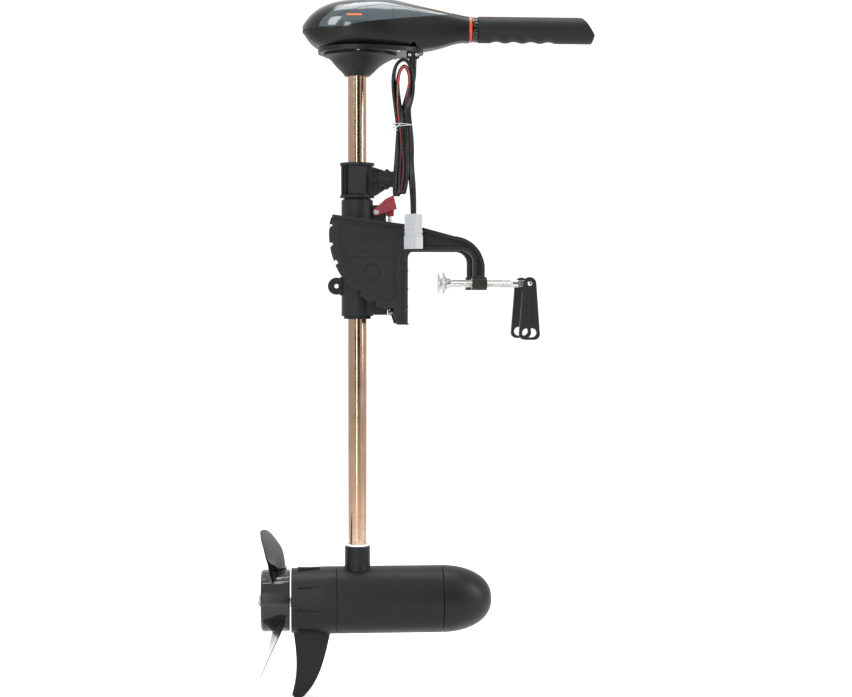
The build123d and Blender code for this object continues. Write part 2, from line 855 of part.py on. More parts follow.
with BuildPart() as tiller_collar:
    with BuildSketch(Plane.YZ.offset(collar_x)):
        with Locations((0, tiller_z)):
            Circle(neck_radius - 1.2)
            with PolarLocations(neck_radius - 1.4, 18):
                Circle(1.2)
            Circle(tube_radius, mode=Mode.SUBTRACT)
    extrude(amount=tiller_collar_width)
keep(tiller_collar, "tiller_collar")

with BuildPart() as tiller_grip:
    with BuildSketch(Plane.YZ.offset(grip_x)):
        with Locations((0, tiller_z)):
            Circle(neck_radius)
    extrude(amount=grip_length)
    # the end is cut on a slant, and the fingers have four hollows below
    with BuildSketch(across(30)):
        with BuildLine():
            Polyline(
                (grip_end - 19, tiller_z + 25),
                (grip_end - 19, tiller_z + neck_radius + 2),
                (grip_end - 12, tiller_z + 12),
                (grip_end, tiller_z - 9),
                (grip_end - 3, tiller_z - neck_radius - 2),
                (grip_end - 3, tiller_z - 25),
                (grip_end + 9, tiller_z - 25),
                (grip_end + 9, tiller_z + 25),
                (grip_end - 19, tiller_z + 25),
            )
        make_face()
        with Locations((grip_x + 70, tiller_z - neck_radius - 17)):
            with GridLocations(27, 1, 4, 1):
                Circle(19.5)
    extrude(amount=60, mode=Mode.SUBTRACT)
    with BuildSketch(Plane.YZ.offset(grip_x)):
        with Locations((0, tiller_z)):
            Circle(tube_radius + 0.1)
    extrude(amount=grip_length - 25.6, mode=Mode.SUBTRACT)
    with BuildSketch(Plane.YZ.offset(grip_x)):
        with Locations((0, tiller_z)):
            Rectangle(rod_side, rod_side)
    extrude(amount=grip_length - 15, mode=Mode.SUBTRACT)
keep(tiller_grip, "tiller_grip")

with BuildPart() as throttle_rod:
    with BuildSketch(Plane.YZ.offset(rod_rear)):
        with Locations((0, tiller_z)):
            Rectangle(rod_side, rod_side)
    extrude(amount=grip_end - 15 - rod_rear)
keep(throttle_rod, "throttle_rod")

# -------------------------------------------------------------- clamp screws
def screw_set(side):
    """One clamp screw and its pin, with the swivel pad and the folding handle."""
    tag = "near" if side < 0 else "far"
    centre = side * screw_y
    with BuildPart() as pad:
        with BuildSketch(Plane(origin=(0, centre, 0), x_dir=(1, 0, 0), z_dir=(0, -1, 0))) as profile:
            with BuildLine():
                Polyline(
                    (pad_x, 0),
                    (pad_x, pad_radius),
                    (pad_x + 1.8, pad_radius),
                    (pad_x + 6, 8),
                    (pad_hub_end, 8),
                    (pad_hub_end, screw_tip_radius + 0.1),
                    (pad_x + 4.5, screw_tip_radius + 0.1),
                    (pad_x + 4.5, 0),
                    (pad_x, 0),
                )
            make_face()
        revolve(profile.sketch, axis=Axis((0, centre, 0), (1, 0, 0)))
    keep(pad, f"clamp_pad_{tag}")

    with BuildPart() as screw:
        with BuildSketch(Plane.YZ.offset(pad_x + 4.9)) as tip:
            with Locations((centre, 0)):
                Circle(screw_tip_radius)
        extrude(tip.sketch, amount=pad_hub_end + body_gap - pad_x - 4.9)
        with BuildSketch(Plane.YZ.offset(pad_hub_end + body_gap)) as body:
            with Locations((centre, 0)):
                Circle(screw_radius)
        extrude(body.sketch, amount=tongue_x - pad_hub_end - body_gap)
        with BuildSketch(across(centre + tongue_thickness / 2)) as tongue:
            with Locations(((tongue_x + toggle_x) / 2, 0)):
                Rectangle(toggle_x - tongue_x, 10)
            with Locations((toggle_x, 0)):
                Circle(5)
                Circle(toggle_pin_radius, mode=Mode.SUBTRACT)
        extrude(tongue.sketch, amount=tongue_thickness)
        # the handle pin is a separate solid, pressed through the tongue
        with BuildSketch(across(centre + toggle_thickness / 2 + 0.8)) as shank:
            with Locations((toggle_x, 0)):
                Circle(toggle_pin_radius)
        extrude(shank.sketch, amount=toggle_thickness + 1.6)
    keep(screw, f"clamp_screw_{tag}")

    with BuildPart() as toggle:
        with BuildSketch(across(centre + toggle_thickness / 2)) as outline:
            with Locations((toggle_x, 0)):
                Circle(toggle_hub)
            with Locations((toggle_x - 7.5, -toggle_reach), (toggle_x + 7, -toggle_reach)):
                Circle(8.6)
            make_hull()
            with Locations((toggle_x, 0)):
                Circle(toggle_pin_radius + pin_fit, mode=Mode.SUBTRACT)
            with Locations((toggle_x - 0.3, -toggle_reach + 2)):
                SlotCenterToCenter(9, 13.5, mode=Mode.SUBTRACT)
        extrude(outline.sketch, amount=toggle_thickness)
        with BuildSketch(across(centre + tongue_thickness / 2 + body_gap)) as slot:
            with Locations((toggle_x, 0)):
                Rectangle(2 * toggle_hub + 4, 26)
        extrude(slot.sketch, amount=tongue_thickness + 2 * body_gap, mode=Mode.SUBTRACT)
        with BuildSketch(across(centre - toggle_thickness / 2 + 0.7)) as recess:
            with Locations((toggle_x - 0.1, -38)):
                RectangleRounded(11, 40, 3)
        extrude(recess.sketch, amount=0.7, mode=Mode.SUBTRACT)
    keep(toggle, f"toggle_{tag}")


screw_set(-1)
screw_set(1)

# ----------------------------------------------------------------- motor pod
def pod_tube(start, length, outer, inner):
    """A ring of the motor pod, along its centre line."""
    with BuildSketch(Plane.YZ.offset(start)) as ring:
        with Locations((0, pod_z)):
            Circle(outer)
            Circle(inner, mode=Mode.SUBTRACT)
    extrude(ring.sketch, amount=length)


with BuildPart() as motor_housing:
    pod_tube(housing_rear, housing_front - housing_rear, pod_radius, pod_radius - pod_wall)
    # stub that takes the shaft tube
    with BuildSketch(Plane.XY.offset(tube_low)):
        with Locations((shaft_x, 0)):
            Circle(shaft_radius + 4)
    extrude(amount=stub_height)
    with BuildSketch(Plane.XY.offset(tube_low - 10)):
        with Locations((shaft_x, 0)):
            Circle(shaft_radius)
    extrude(amount=stub_height + 10, mode=Mode.SUBTRACT)
    with BuildSketch(Plane.YZ.offset(housing_rear)):
        with Locations((0, pod_z)):
            Circle(pod_radius - pod_wall)
    extrude(amount=housing_front - housing_rear, mode=Mode.SUBTRACT)
keep(motor_housing, "motor_housing")

with BuildPart() as motor_collar:
    with BuildSketch(Plane.XZ) as collar_profile:
        with BuildLine():
            Polyline(
                (shaft_x + shaft_radius, pod_collar_top),
                (shaft_x + pod_collar_radius - 1, pod_collar_top),
                (shaft_x + pod_collar_radius, pod_collar_top - 2),
                (shaft_x + pod_collar_radius, -430),
            )
            Spline(
                (shaft_x + pod_collar_radius, -430),
                (shaft_x + 23.5, pod_z + pod_radius - 8),
                tangents=((0, -1), (1, -0.8)),
            )
            Polyline(
                (shaft_x + 23.5, pod_z + pod_radius - 8),
                (shaft_x + shaft_radius, pod_z + pod_radius - 8),
                (shaft_x + shaft_radius, pod_collar_top),
            )
        make_face()
    revolve(axis=Axis((shaft_x, 0, 0), (0, 0, 1)))
    with BuildSketch(Plane.YZ.offset(housing_rear)):
        with Locations((0, pod_z)):
            Circle(pod_radius)
    extrude(amount=housing_front - housing_rear, mode=Mode.SUBTRACT)
    with BuildSketch(Plane.XY.offset(tube_low)):
        with Locations((shaft_x, 0)):
            Circle(shaft_radius + 4)
    extrude(amount=stub_height, mode=Mode.SUBTRACT)
keep(motor_collar, "motor_collar")

with BuildPart() as shaft_gasket:
    with BuildSketch(Plane.XY.offset(pod_collar_top)):
        with Locations((shaft_x, 0)):
            Circle(17.6)
            Circle(shaft_radius, mode=Mode.SUBTRACT)
    extrude(amount=3)
keep(shaft_gasket, "shaft_gasket")

with BuildPart() as nose_cone:
    with BuildSketch(pod_plane):
        with BuildLine():
            outer = Spline(
                (housing_front, pod_radius),
                (85, 46.5),
                (105, 37.5),
                (122, 23.0),
                (nose_tip, 0),
                tangents=((1, 0), (0, -1)),
            )
            Polyline(outer @ 1, (nose_tip - 5, 0))
            inner = Spline(
                (nose_tip - 5, 0),
                (118, 20),
                (102, 33),
                (84, 42),
                (housing_front, pod_radius - pod_wall),
                tangents=((0, 1), (-1, 0)),
            )
            Polyline(inner @ 1, outer @ 0)
        make_face()
    revolve(axis=Axis((0, 0, pod_z), (1, 0, 0)))
keep(nose_cone, "nose_cone")

with BuildPart() as rear_cap:
    with BuildSketch(pod_plane):
        with BuildLine():
            Polyline(
                (housing_rear, pod_radius - pod_wall),
                (housing_rear, pod_radius),
                (-128, pod_radius),
                (cap_rear, pod_radius - 2.2),
                (cap_rear, motor_shaft_radius + 6),
                (cap_rear + 6, motor_shaft_radius + 6),
                (cap_rear + 6, pod_radius - 7),
                (housing_rear, pod_radius - pod_wall),
            )
        make_face()
    revolve(axis=Axis((0, 0, pod_z), (1, 0, 0)))
    # tapered ribs round the cap
    for index in range(8):
        if index == 6:
            continue
        angle = math.radians(index * 45 + 11)
        rib_plane = Plane(
            origin=(cap_rear + 10, (pod_radius - 3) * math.cos(angle), pod_z + (pod_radius - 3) * math.sin(angle)),
            x_dir=(1, 0, 0),
            z_dir=(0, math.cos(angle), math.sin(angle)),
        )
        with BuildSketch(rib_plane):
            with BuildLine():
                Polyline((0, 3.4), (34, 1.0), (34, -1.0), (0, -3.4), (0, 3.4))
            make_face()
        extrude(amount=4.8)
    # skeg below
    with BuildSketch(across(3.5)):
        with BuildLine():
            Spline((-175, -536), (-170, -580), (-171, -610), (-176.5, -636.5))
            Spline((-176.5, -636.5), (-172, -641.5), (-158.5, -639.7))
            Spline((-158.5, -639.7), (-146, -625), (-129.3, -589.5), (-116, -536))
            Line((-116, -536), (-175, -536))
        make_face()
    extrude(amount=7)
keep(rear_cap, "rear_cap")

with BuildPart() as through_bolts:
    for y in (-36, 36):
        with BuildSketch(Plane.YZ.offset(cap_rear - 0.9)):
            with Locations((y, pod_z)):
                Circle(3.2)
                Rectangle(4.4, 1.0, mode=Mode.SUBTRACT)
        extrude(amount=0.9)
keep(through_bolts, "through_bolts")

with BuildPart() as field_magnets:
    with BuildSketch(Plane.YZ.offset(-95)):
        with Locations((0, pod_z)):
            Circle(pod_radius - pod_wall)
            Circle(pod_radius - pod_wall - magnet_thickness, mode=Mode.SUBTRACT)
            Rectangle(52, 2 * pod_radius, mode=Mode.SUBTRACT)
    extrude(amount=118)
keep(field_magnets, "field_magnets")

with BuildPart() as bearings:
    for start, bore_outer in ((cap_rear + 0.5, motor_shaft_radius + 6), (30, 10)):
        pod_tube(start, 7, bore_outer, motor_shaft_radius + 0.05)
    # end plate that carries the front bearing
    pod_tube(31, 4, pod_radius - pod_wall, 10)
keep(bearings, "bearings")

with BuildPart() as brush_gear:
    pod_tube(24, 3, pod_radius - pod_wall, 16)
    with BuildSketch(Plane.YZ.offset(14)):
        with Locations((0, pod_z + 18.5), (0, pod_z - 18.5)):
            Rectangle(7, 12)
    extrude(amount=10)
keep(brush_gear, "brush_gear")

# ----------------------------------------------------------- rotating group
with BuildPart() as motor_shaft:
    pod_tube(hub_rear - 6, 40 - hub_rear + 6, motor_shaft_radius, 0.6)
keep(motor_shaft, "motor_shaft")

with BuildPart() as armature:
    pod_tube(-90, 88, armature_radius, motor_shaft_radius)
    with BuildSketch(Plane.YZ.offset(-90)):
        with Locations((0, pod_z)):
            with PolarLocations(armature_radius - 5, 12):
                Circle(3.4)
    extrude(amount=88, mode=Mode.SUBTRACT)
keep(armature, "armature")

with BuildPart() as windings:
    with BuildSketch(Plane.YZ.offset(-96)):
        with Locations((0, pod_z)):
            with PolarLocations(armature_radius - 5, 12):
                Circle(3.4)
    extrude(amount=100)
    pod_tube(-100, 10, armature_radius - 1, 12)
    pod_tube(-2, 8, armature_radius - 1, 12)
    pod_tube(8, 15, 12, motor_shaft_radius)
keep(windings, "windings")

with BuildPart() as propeller:
    hub_front = cap_rear - 2.0
    with BuildSketch(pod_plane) as hub_profile:
        with BuildLine():
            Polyline(
                (hub_front, motor_shaft_radius),
                (hub_front, hub_radius - 1.5),
                (hub_front - 1.5, hub_radius),
                (hub_rear + 3, hub_radius),
                (hub_rear, hub_radius - 3),
                (hub_rear, hub_radius - 3 - hub_wall),
                (hub_front - 8, hub_radius - 3 - hub_wall),
                (hub_front - 8, 14),
                (hub_rear + 4, 12),
                (hub_rear + 4, motor_shaft_radius),
                (hub_front, motor_shaft_radius),
            )
        make_face()
    revolve(axis=Axis((0, 0, pod_z), (1, 0, 0)))
    for blade in range(blade_count):
        turn = math.radians(blade_phase + blade * 360 / blade_count)
        radial = Vector(0, -math.sin(turn), math.cos(turn))
        tangent = Vector(0, -math.cos(turn), -math.sin(turn))
        sections = []
        # radius, chord, thickness, pitch angle, rearward rake and sweep of each section
        for radius, chord, thick, pitch, rake, lag in (
            (hub_radius - 3, 52, 5.0, 27, 0, 0),
            (68, 58, 4.4, 23, 5, 1),
            (90, 56, 3.6, 19, 12, 4),
            (108, 45, 2.8, 16, 19, 9),
            (119, 28, 2.0, 14, 24, 14),
            (prop_radius, 9, 1.2, 13, 27, 18),
        ):
            slope = math.radians(pitch)
            along = tangent * math.cos(slope) + Vector(-1, 0, 0) * math.sin(slope)
            middle = Vector((hub_front + hub_rear) / 2 - rake + 6, 0, pod_z) + radial * radius + tangent * lag
            with BuildSketch(Plane(origin=middle, x_dir=along, z_dir=radial)) as section:
                Ellipse(chord / 2, thick / 2)
            sections.append(section.sketch)
        loft(sections)
keep(propeller, "propeller")

with BuildPart() as prop_nut:
    with BuildSketch(Plane.YZ.offset(hub_rear - 4.5)):
        with Locations((0, pod_z)):
            RegularPolygon(9, 6)
            Circle(motor_shaft_radius, mode=Mode.SUBTRACT)
    extrude(amount=7)
    with BuildSketch(Plane.YZ.offset(hub_rear + 2.5)):
        with Locations((0, pod_z)):
            Circle(11)
            Circle(motor_shaft_radius, mode=Mode.SUBTRACT)
    extrude(amount=1.5)
keep(prop_nut, "prop_nut")

# --------------------------------------------------------------- supply lead
# The lead leaves the gland, is folded into a tied hank and ends in its plug.
hank_plane_tilt = (
    (334, 0, -38, 37, 11),
    (300, -6, -43, 34, 11),
    (262, -9, -49, 24, 12),
    (240, -11, -58, 17, 13),
    (225, -10.5, -63.4, 18, 14),
    (190, -9, -63.6, 22, 14),
    (160, -12, -64, 20, 14),
    (134, -14, -65.5, 15, 11),
)
with BuildPart() as cord_hank:
    sections = []
    for height, middle_x, middle_y, width, depth in hank_plane_tilt:
        with BuildSketch(Plane.XY.offset(height)) as section:
            with Locations((middle_x, middle_y)):
                RectangleRounded(width, depth, 4.5)
        sections.append(section.sketch)
    loft(sections, ruled=True)
keep(cord_hank, "cord_hank")


def flat_tube(points, radii):
    """A flat twin cable along straight runs and tangent arcs."""
    with BuildLine() as route:
        FilletPolyline(*points, radius=radii)
    start = route.line @ 0
    with BuildSketch(Plane(origin=start, x_dir=(1, 0, 0), z_dir=route.line % 0)) as section:
        SlotOverall(cord_width, cord_thickness)
    sweep(section.sketch, path=route.line)


lower_points = (
    (-1.5, -63.0, 188.0),
    (2.0, -66.5, 166.0),
    (6.0, -73.0, 141.0),
    (plug_x, plug_y, 122.0),
    (plug_x, plug_y, plug_top),
)


def corner_radii(points):
    """Radius of each corner: 0.45 of its shorter run over the tangent of half the turn."""
    vectors = [Vector(*point) for point in points]
    radii = []
    for before, corner, after in zip(vectors, vectors[1:], vectors[2:]):
        run_in = corner - before
        run_out = after - corner
        half_turn = math.radians(run_in.get_angle(run_out)) / 2
        radii.append(0.45 * min(run_in.length, run_out.length) / math.tan(half_turn))
    return radii


print("lead radii", [round(radius, 1) for radius in corner_radii(lower_points)])
with BuildPart() as cord_lower:
    flat_tube(lower_points, corner_radii(lower_points))
keep(cord_lower, "cord_lower")

with BuildPart() as cord_upper:
    with BuildSketch(Plane.XY.offset(334)):
        with Locations((gland_x, gland_y - 3)):
            SlotOverall(cord_width, cord_thickness)
    extrude(amount=rim_bottom - gland_drop - 334)
keep(cord_upper, "cord_upper")

with BuildPart() as cord_tie:
    with BuildSketch(Plane.XY.offset(236)):
        with Locations((-11, -59)):
            RectangleRounded(20.8, 19.2, 5)
            RectangleRounded(18.4, 16.8, 4.2, mode=Mode.SUBTRACT)
    extrude(amount=4)
keep(cord_tie, "cord_tie")

plug_frame = Plane(origin=(plug_x, plug_y, 0), z_dir=(0, 0, 1)).rotated((0, 0, -plug_turn))
with BuildPart() as plug_body:
    with BuildSketch(plug_frame.offset(plug_split)):
        RectangleRounded(plug_width - 1.5, plug_depth - 1.5, 1.5)
    extrude(amount=plug_top - plug_split)
    with BuildSketch(plug_frame.offset(plug_bottom)):
        RectangleRounded(plug_width, plug_depth, 1.5)
        with GridLocations(10, plug_depth, 3, 2):
            Rectangle(2, 1.0)
    extrude(amount=plug_split - plug_bottom)
    # ridges for the fingers along both narrow sides
    for height in (76, 83, 90, 97):
        with BuildSketch(plug_frame.offset(height)):
            with GridLocations(plug_width - 1.5, 1, 2, 1):
                Rectangle(2.4, plug_depth - 3)
        extrude(amount=2)
    # mouth with two contact seats
    with BuildSketch(plug_frame.offset(plug_bottom)):
        with GridLocations(13.5, 1, 2, 1):
            RectangleRounded(10.5, 9.5, 1)
    extrude(amount=3.5, mode=Mode.SUBTRACT)
keep(plug_body, "plug_body")

with BuildPart() as plug_contacts:
    with BuildSketch(plug_frame.offset(plug_bottom + 0.8)):
        with GridLocations(13.5, 1, 2, 1):
            Rectangle(7, 2.2)
    extrude(amount=2.7)
keep(plug_contacts, "plug_contacts")
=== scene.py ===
"""Looks of the electric trolling motor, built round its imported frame, in metres."""
import json
import logging
import math
from dataclasses import dataclass, field
from enum import Enum
from typing import Callable, Dict, Iterable, List, Optional, Sequence, Tuple

import bmesh
import bpy
from mathutils import Matrix, Vector
from mathutils.bvhtree import BVHTree


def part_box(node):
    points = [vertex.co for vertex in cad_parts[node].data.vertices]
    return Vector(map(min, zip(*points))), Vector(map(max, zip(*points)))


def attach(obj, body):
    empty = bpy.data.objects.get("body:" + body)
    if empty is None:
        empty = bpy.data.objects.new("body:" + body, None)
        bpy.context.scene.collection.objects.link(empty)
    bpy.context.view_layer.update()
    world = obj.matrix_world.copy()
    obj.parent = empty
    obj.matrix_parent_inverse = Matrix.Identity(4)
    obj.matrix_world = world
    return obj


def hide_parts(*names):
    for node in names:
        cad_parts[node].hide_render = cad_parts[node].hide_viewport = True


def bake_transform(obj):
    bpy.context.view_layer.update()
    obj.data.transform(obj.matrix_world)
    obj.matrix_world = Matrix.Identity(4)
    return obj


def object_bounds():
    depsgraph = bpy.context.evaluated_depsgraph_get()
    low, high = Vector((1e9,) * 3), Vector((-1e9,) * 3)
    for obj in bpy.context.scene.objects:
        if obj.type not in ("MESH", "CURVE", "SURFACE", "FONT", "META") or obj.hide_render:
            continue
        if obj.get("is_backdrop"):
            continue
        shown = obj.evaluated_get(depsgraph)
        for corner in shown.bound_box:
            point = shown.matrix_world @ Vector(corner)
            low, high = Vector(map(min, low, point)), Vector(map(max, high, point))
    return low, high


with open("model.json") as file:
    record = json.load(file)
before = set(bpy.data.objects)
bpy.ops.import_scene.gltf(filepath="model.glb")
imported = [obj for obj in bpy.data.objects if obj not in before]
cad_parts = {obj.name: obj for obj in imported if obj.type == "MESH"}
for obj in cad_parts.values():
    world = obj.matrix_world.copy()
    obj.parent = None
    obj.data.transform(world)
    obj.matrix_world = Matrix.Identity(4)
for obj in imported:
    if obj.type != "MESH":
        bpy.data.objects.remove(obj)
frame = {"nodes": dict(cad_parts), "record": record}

LOG = logging.getLogger("trolling_motor")
Colour = Tuple[float, float, float]
Point = Tuple[float, float, float]
MM = 0.001
SHAFT_X = -75.0
POD_Z = -490.3
TILLER_Z = 391.2
SCREW_Y = 50.0
TOGGLE_X = 186.0
CAD_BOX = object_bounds()


# ------------------------------------------------------------------ node work
class Bench:
    """Places and wires the nodes of one node tree."""

    def __init__(self, tree: bpy.types.NodeTree) -> None:
        """Start on a tree.

        Args:
            tree: the material's or the group's node tree.
        """
        self.tree = tree

    def add(
        self, kind: str, props: Optional[Dict[str, object]] = None, **sockets: object
    ) -> bpy.types.Node:
        """Add a node and fill its sockets.

        Args:
            kind: the node's type name.
            props: settings of the node itself.
            sockets: values or outputs, named as the input with underscores for spaces.

        Returns:
            The new node.
        """
        node = self.tree.nodes.new(kind)
        for name, value in (props or {}).items():
            setattr(node, name, value)
        for name, value in sockets.items():
            self.feed(node.inputs[name.replace("_", " ")], value)
        return node

    def feed(self, socket: bpy.types.NodeSocket, value: object) -> None:
        """Link an output to a socket, or set the socket's own value."""
        if isinstance(value, bpy.types.NodeSocket):
            self.tree.links.new(value, socket)
        else:
            socket.default_value = value

    def math(self, operation: str, first: object, second: object = 0.0) -> bpy.types.NodeSocket:
        """Combine two numbers with one operation and return the result."""
        node = self.add("ShaderNodeMath", {"operation": operation})
        self.feed(node.inputs[0], first)
        self.feed(node.inputs[1], second)
        return node.outputs[0]

    def blend(self, factor: object, first: object, second: object) -> bpy.types.NodeSocket:
        """Mix two colours by a factor and return the mixed colour."""
        node = self.add("ShaderNodeMix", {"data_type": "RGBA"})
        self.feed(node.inputs[0], factor)
        self.feed(node.inputs[6], first)
        self.feed(node.inputs[7], second)
        return node.outputs[2]

    def ranged(
        self, value: object, low: float, high: float, new_low: float, new_high: float
    ) -> bpy.types.NodeSocket:
        """Rescale a value from one range to another and return it, held inside the new range."""
        node = self.add("ShaderNodeMapRange", {"clamp": True}, Value=value)
        for index, number in enumerate((low, high, new_low, new_high), start=1):
            node.inputs[index].default_value = number
        return node.outputs[0]

    def noise(
        self, vector: object, scale: object, detail: float = 3.0, rough: float = 0.55
    ) -> bpy.types.NodeSocket:
        """Fractal noise on a vector, returned as a value."""
        node = self.add("ShaderNodeTexNoise", Vector=vector, Scale=scale, Detail=detail, Roughness=rough)
        return node.outputs["Fac"]


def rgba(colour: Colour) -> Tuple[float, float, float, float]:
    """A colour with full alpha."""
    return (colour[0], colour[1], colour[2], 1.0)


class Effects:
    """Shader node groups that several finishes share, each built once."""

    made: Dict[str, bpy.types.NodeTree] = {}

    @classmethod
    def start(
        cls, name: str, inputs: Dict[str, float], outputs: Sequence[str]
    ) -> Tuple[bpy.types.NodeTree, Bench, bpy.types.Node, bpy.types.Node]:
        """Open a new group with float sockets.

        Args:
            name: the group's name.
            inputs: input names with their usual values.
            outputs: output names.

        Returns:
            The tree, its bench, and its input and output nodes.
        """
        tree = bpy.data.node_groups.new(name, "ShaderNodeTree")
        for label, value in inputs.items():
            socket = tree.interface.new_socket(label, in_out="INPUT", socket_type="NodeSocketFloat")
            socket.default_value = value
        for label in outputs:
            tree.interface.new_socket(label, in_out="OUTPUT", socket_type="NodeSocketFloat")
        bench = Bench(tree)
        cls.made[name] = tree
        return tree, bench, bench.add("NodeGroupInput"), bench.add("NodeGroupOutput")

    @classmethod
    def grain(cls) -> bpy.types.NodeTree:
        """Moulded grain: a fine pebble height and a slow mottle."""
        if "moulded_grain" in cls.made:
            return cls.made["moulded_grain"]
        tree, bench, given, out = cls.start(
            "moulded_grain", {"Scale": 1400.0, "Pebble": 0.5}, ("Height", "Mottle")
        )
        place = bench.add("ShaderNodeTexCoord").outputs["Object"]
        cells = bench.add(
            "ShaderNodeTexVoronoi", {"feature": "SMOOTH_F1"}, Vector=place, Scale=given.outputs["Scale"]
        )
        fine = bench.noise(place, bench.math("MULTIPLY", given.outputs["Scale"], 2.3), 2.0)
        pebble = bench.math("MULTIPLY", cells.outputs["Distance"], given.outputs["Pebble"])
        bench.feed(out.inputs["Height"], bench.math("ADD", pebble, bench.math("MULTIPLY", fine, 0.5)))
        slow = bench.noise(place, 38.0, 5.0, 0.62)
        bench.feed(out.inputs["Mottle"], bench.ranged(slow, 0.3, 0.7, 0.0, 1.0))
        return tree

    @classmethod
    def wear(cls) -> bpy.types.NodeTree:
        """Edge wear: a broken mask along raised edges."""
        if "edge_wear" in cls.made:
            return cls.made["edge_wear"]
        tree, bench, given, out = cls.start("edge_wear", {"Reach": 0.06, "Breakup": 240.0}, ("Mask",))
        place = bench.add("ShaderNodeTexCoord").outputs["Object"]
        sharp = bench.add("ShaderNodeNewGeometry").outputs["Pointiness"]
        raised = bench.math("SUBTRACT", sharp, 0.515)
        edge = bench.math("DIVIDE", raised, given.outputs["Reach"])
        broken = bench.ranged(bench.noise(place, given.outputs["Breakup"], 4.0, 0.7), 0.42, 0.62, 0.0, 1.0)
        held = bench.math("MINIMUM", bench.math("MAXIMUM", edge, 0.0), 1.0)
        bench.feed(out.inputs["Mask"], bench.math("MULTIPLY", held, broken))
        return tree

    @classmethod
    def handling(cls) -> bpy.types.NodeTree:
        """Handling: smudges that change the gloss, and dust on faces that look up."""
        if "handling" in cls.made:
            return cls.made["handling"]
        tree, bench, given, out = cls.start("handling", {"Size": 22.0}, ("Smudge", "Dust"))
        place = bench.add("ShaderNodeTexCoord").outputs["Object"]
        cloud = bench.noise(place, given.outputs["Size"], 6.0, 0.68)
        fine = bench.noise(place, bench.math("MULTIPLY", given.outputs["Size"], 11.0), 3.0, 0.6)
        both = bench.math("ADD", bench.math("MULTIPLY", cloud, 0.7), bench.math("MULTIPLY", fine, 0.3))
        bench.feed(out.inputs["Smudge"], bench.ranged(both, 0.38, 0.64, 0.0, 1.0))
        facing = bench.add(
            "ShaderNodeSeparateXYZ", Vector=bench.add("ShaderNodeNewGeometry").outputs["Normal"]
        )
        up = bench.ranged(facing.outputs["Z"], 0.55, 1.0, 0.0, 1.0)
        speck = bench.ranged(bench.noise(place, 900.0, 2.0, 0.5), 0.45, 0.7, 0.0, 1.0)
        bench.feed(out.inputs["Dust"], bench.math("MULTIPLY", up, speck))
        return tree

    @classmethod
    def turned(cls) -> bpy.types.NodeTree:
        """Machining: streaks stretched across a chosen direction, with a slow tone change."""
        if "turned_marks" in cls.made:
            return cls.made["turned_marks"]
        names = {"Along X": 1.0, "Along Y": 1.0, "Along Z": 1.0}
        tree, bench, given, out = cls.start("turned_marks", names, ("Height", "Shade"))
        place = bench.add("ShaderNodeTexCoord").outputs["Object"]
        parts = bench.add("ShaderNodeSeparateXYZ", Vector=place)
        joined = bench.add("ShaderNodeCombineXYZ")
        for axis in "XYZ":
            scaled = bench.math("MULTIPLY", parts.outputs[axis], given.outputs["Along " + axis])
            bench.feed(joined.inputs[axis], scaled)
        streak = bench.noise(joined.outputs[0], 1.0, 4.0, 0.6)
        bench.feed(out.inputs["Height"], streak)
        slow = bench.noise(place, 30.0, 4.0, 0.6)
        shade = bench.math("ADD", bench.math("MULTIPLY", streak, 0.6), bench.math("MULTIPLY", slow, 0.4))
        bench.feed(out.inputs["Shade"], bench.ranged(shade, 0.35, 0.65, 0.0, 1.0))
        return tree


class Direction(Enum):
    """The way that a metal piece was turned or drawn, as streak scales per metre."""

    AROUND_X = (6000.0, 160.0, 160.0)
    AROUND_Z = (160.0, 160.0, 6000.0)
    DRAWN_Z = (2600.0, 2600.0, 30.0)
    ANY = (1200.0, 1200.0, 1200.0)


@dataclass(frozen=True)
class Moulded:
    """A moulded plastic or rubber finish with grain, smudges, dust and edge wear."""

    slot: str
    base: Colour
    pale: Colour
    rough: Tuple[float, float]
    grain: float = 1400.0
    depth: float = 0.00004
    pebble: float = 0.5
    wear: float = 0.25
    dust: float = 0.06
    coat: float = 0.0
    specular: float = 0.2
    name: str = ""

    def make(self) -> bpy.types.Material:
        """Build the material and return it."""
        material = bpy.data.materials.new(self.name or self.slot)
        material.use_nodes = True
        bench = Bench(material.node_tree)
        shader = material.node_tree.nodes["Principled BSDF"]
        grain = bench.add(
            "ShaderNodeGroup", {"node_tree": Effects.grain()}, Scale=self.grain, Pebble=self.pebble
        )
        worn = bench.add("ShaderNodeGroup", {"node_tree": Effects.wear()})
        touch = bench.add("ShaderNodeGroup", {"node_tree": Effects.handling()})
        mottle = bench.math("MULTIPLY", grain.outputs["Mottle"], 0.35)
        colour = bench.blend(mottle, rgba(self.base), rgba(self.pale))
        rubbed = bench.math("MULTIPLY", worn.outputs["Mask"], self.wear)
        lighter = tuple(min(1.0, part * 2.2 + 0.03) for part in self.pale)
        colour = bench.blend(rubbed, colour, rgba(lighter))
        dusty = bench.math("MULTIPLY", touch.outputs["Dust"], self.dust)
        colour = bench.blend(dusty, colour, (0.42, 0.41, 0.39, 1.0))
        bench.feed(shader.inputs["Base Color"], colour)
        low, high = self.rough
        bench.feed(shader.inputs["Roughness"], bench.ranged(touch.outputs["Smudge"], 0.0, 1.0, low, high))
        bump = bench.add(
            "ShaderNodeBump", Height=grain.outputs["Height"], Strength=0.8, Distance=self.depth
        )
        bench.feed(shader.inputs["Normal"], bump.outputs["Normal"])
        shader.inputs["Coat Weight"].default_value = self.coat
        shader.inputs["Coat Roughness"].default_value = 0.08
        shader.inputs["Specular IOR Level"].default_value = self.specular
        return material


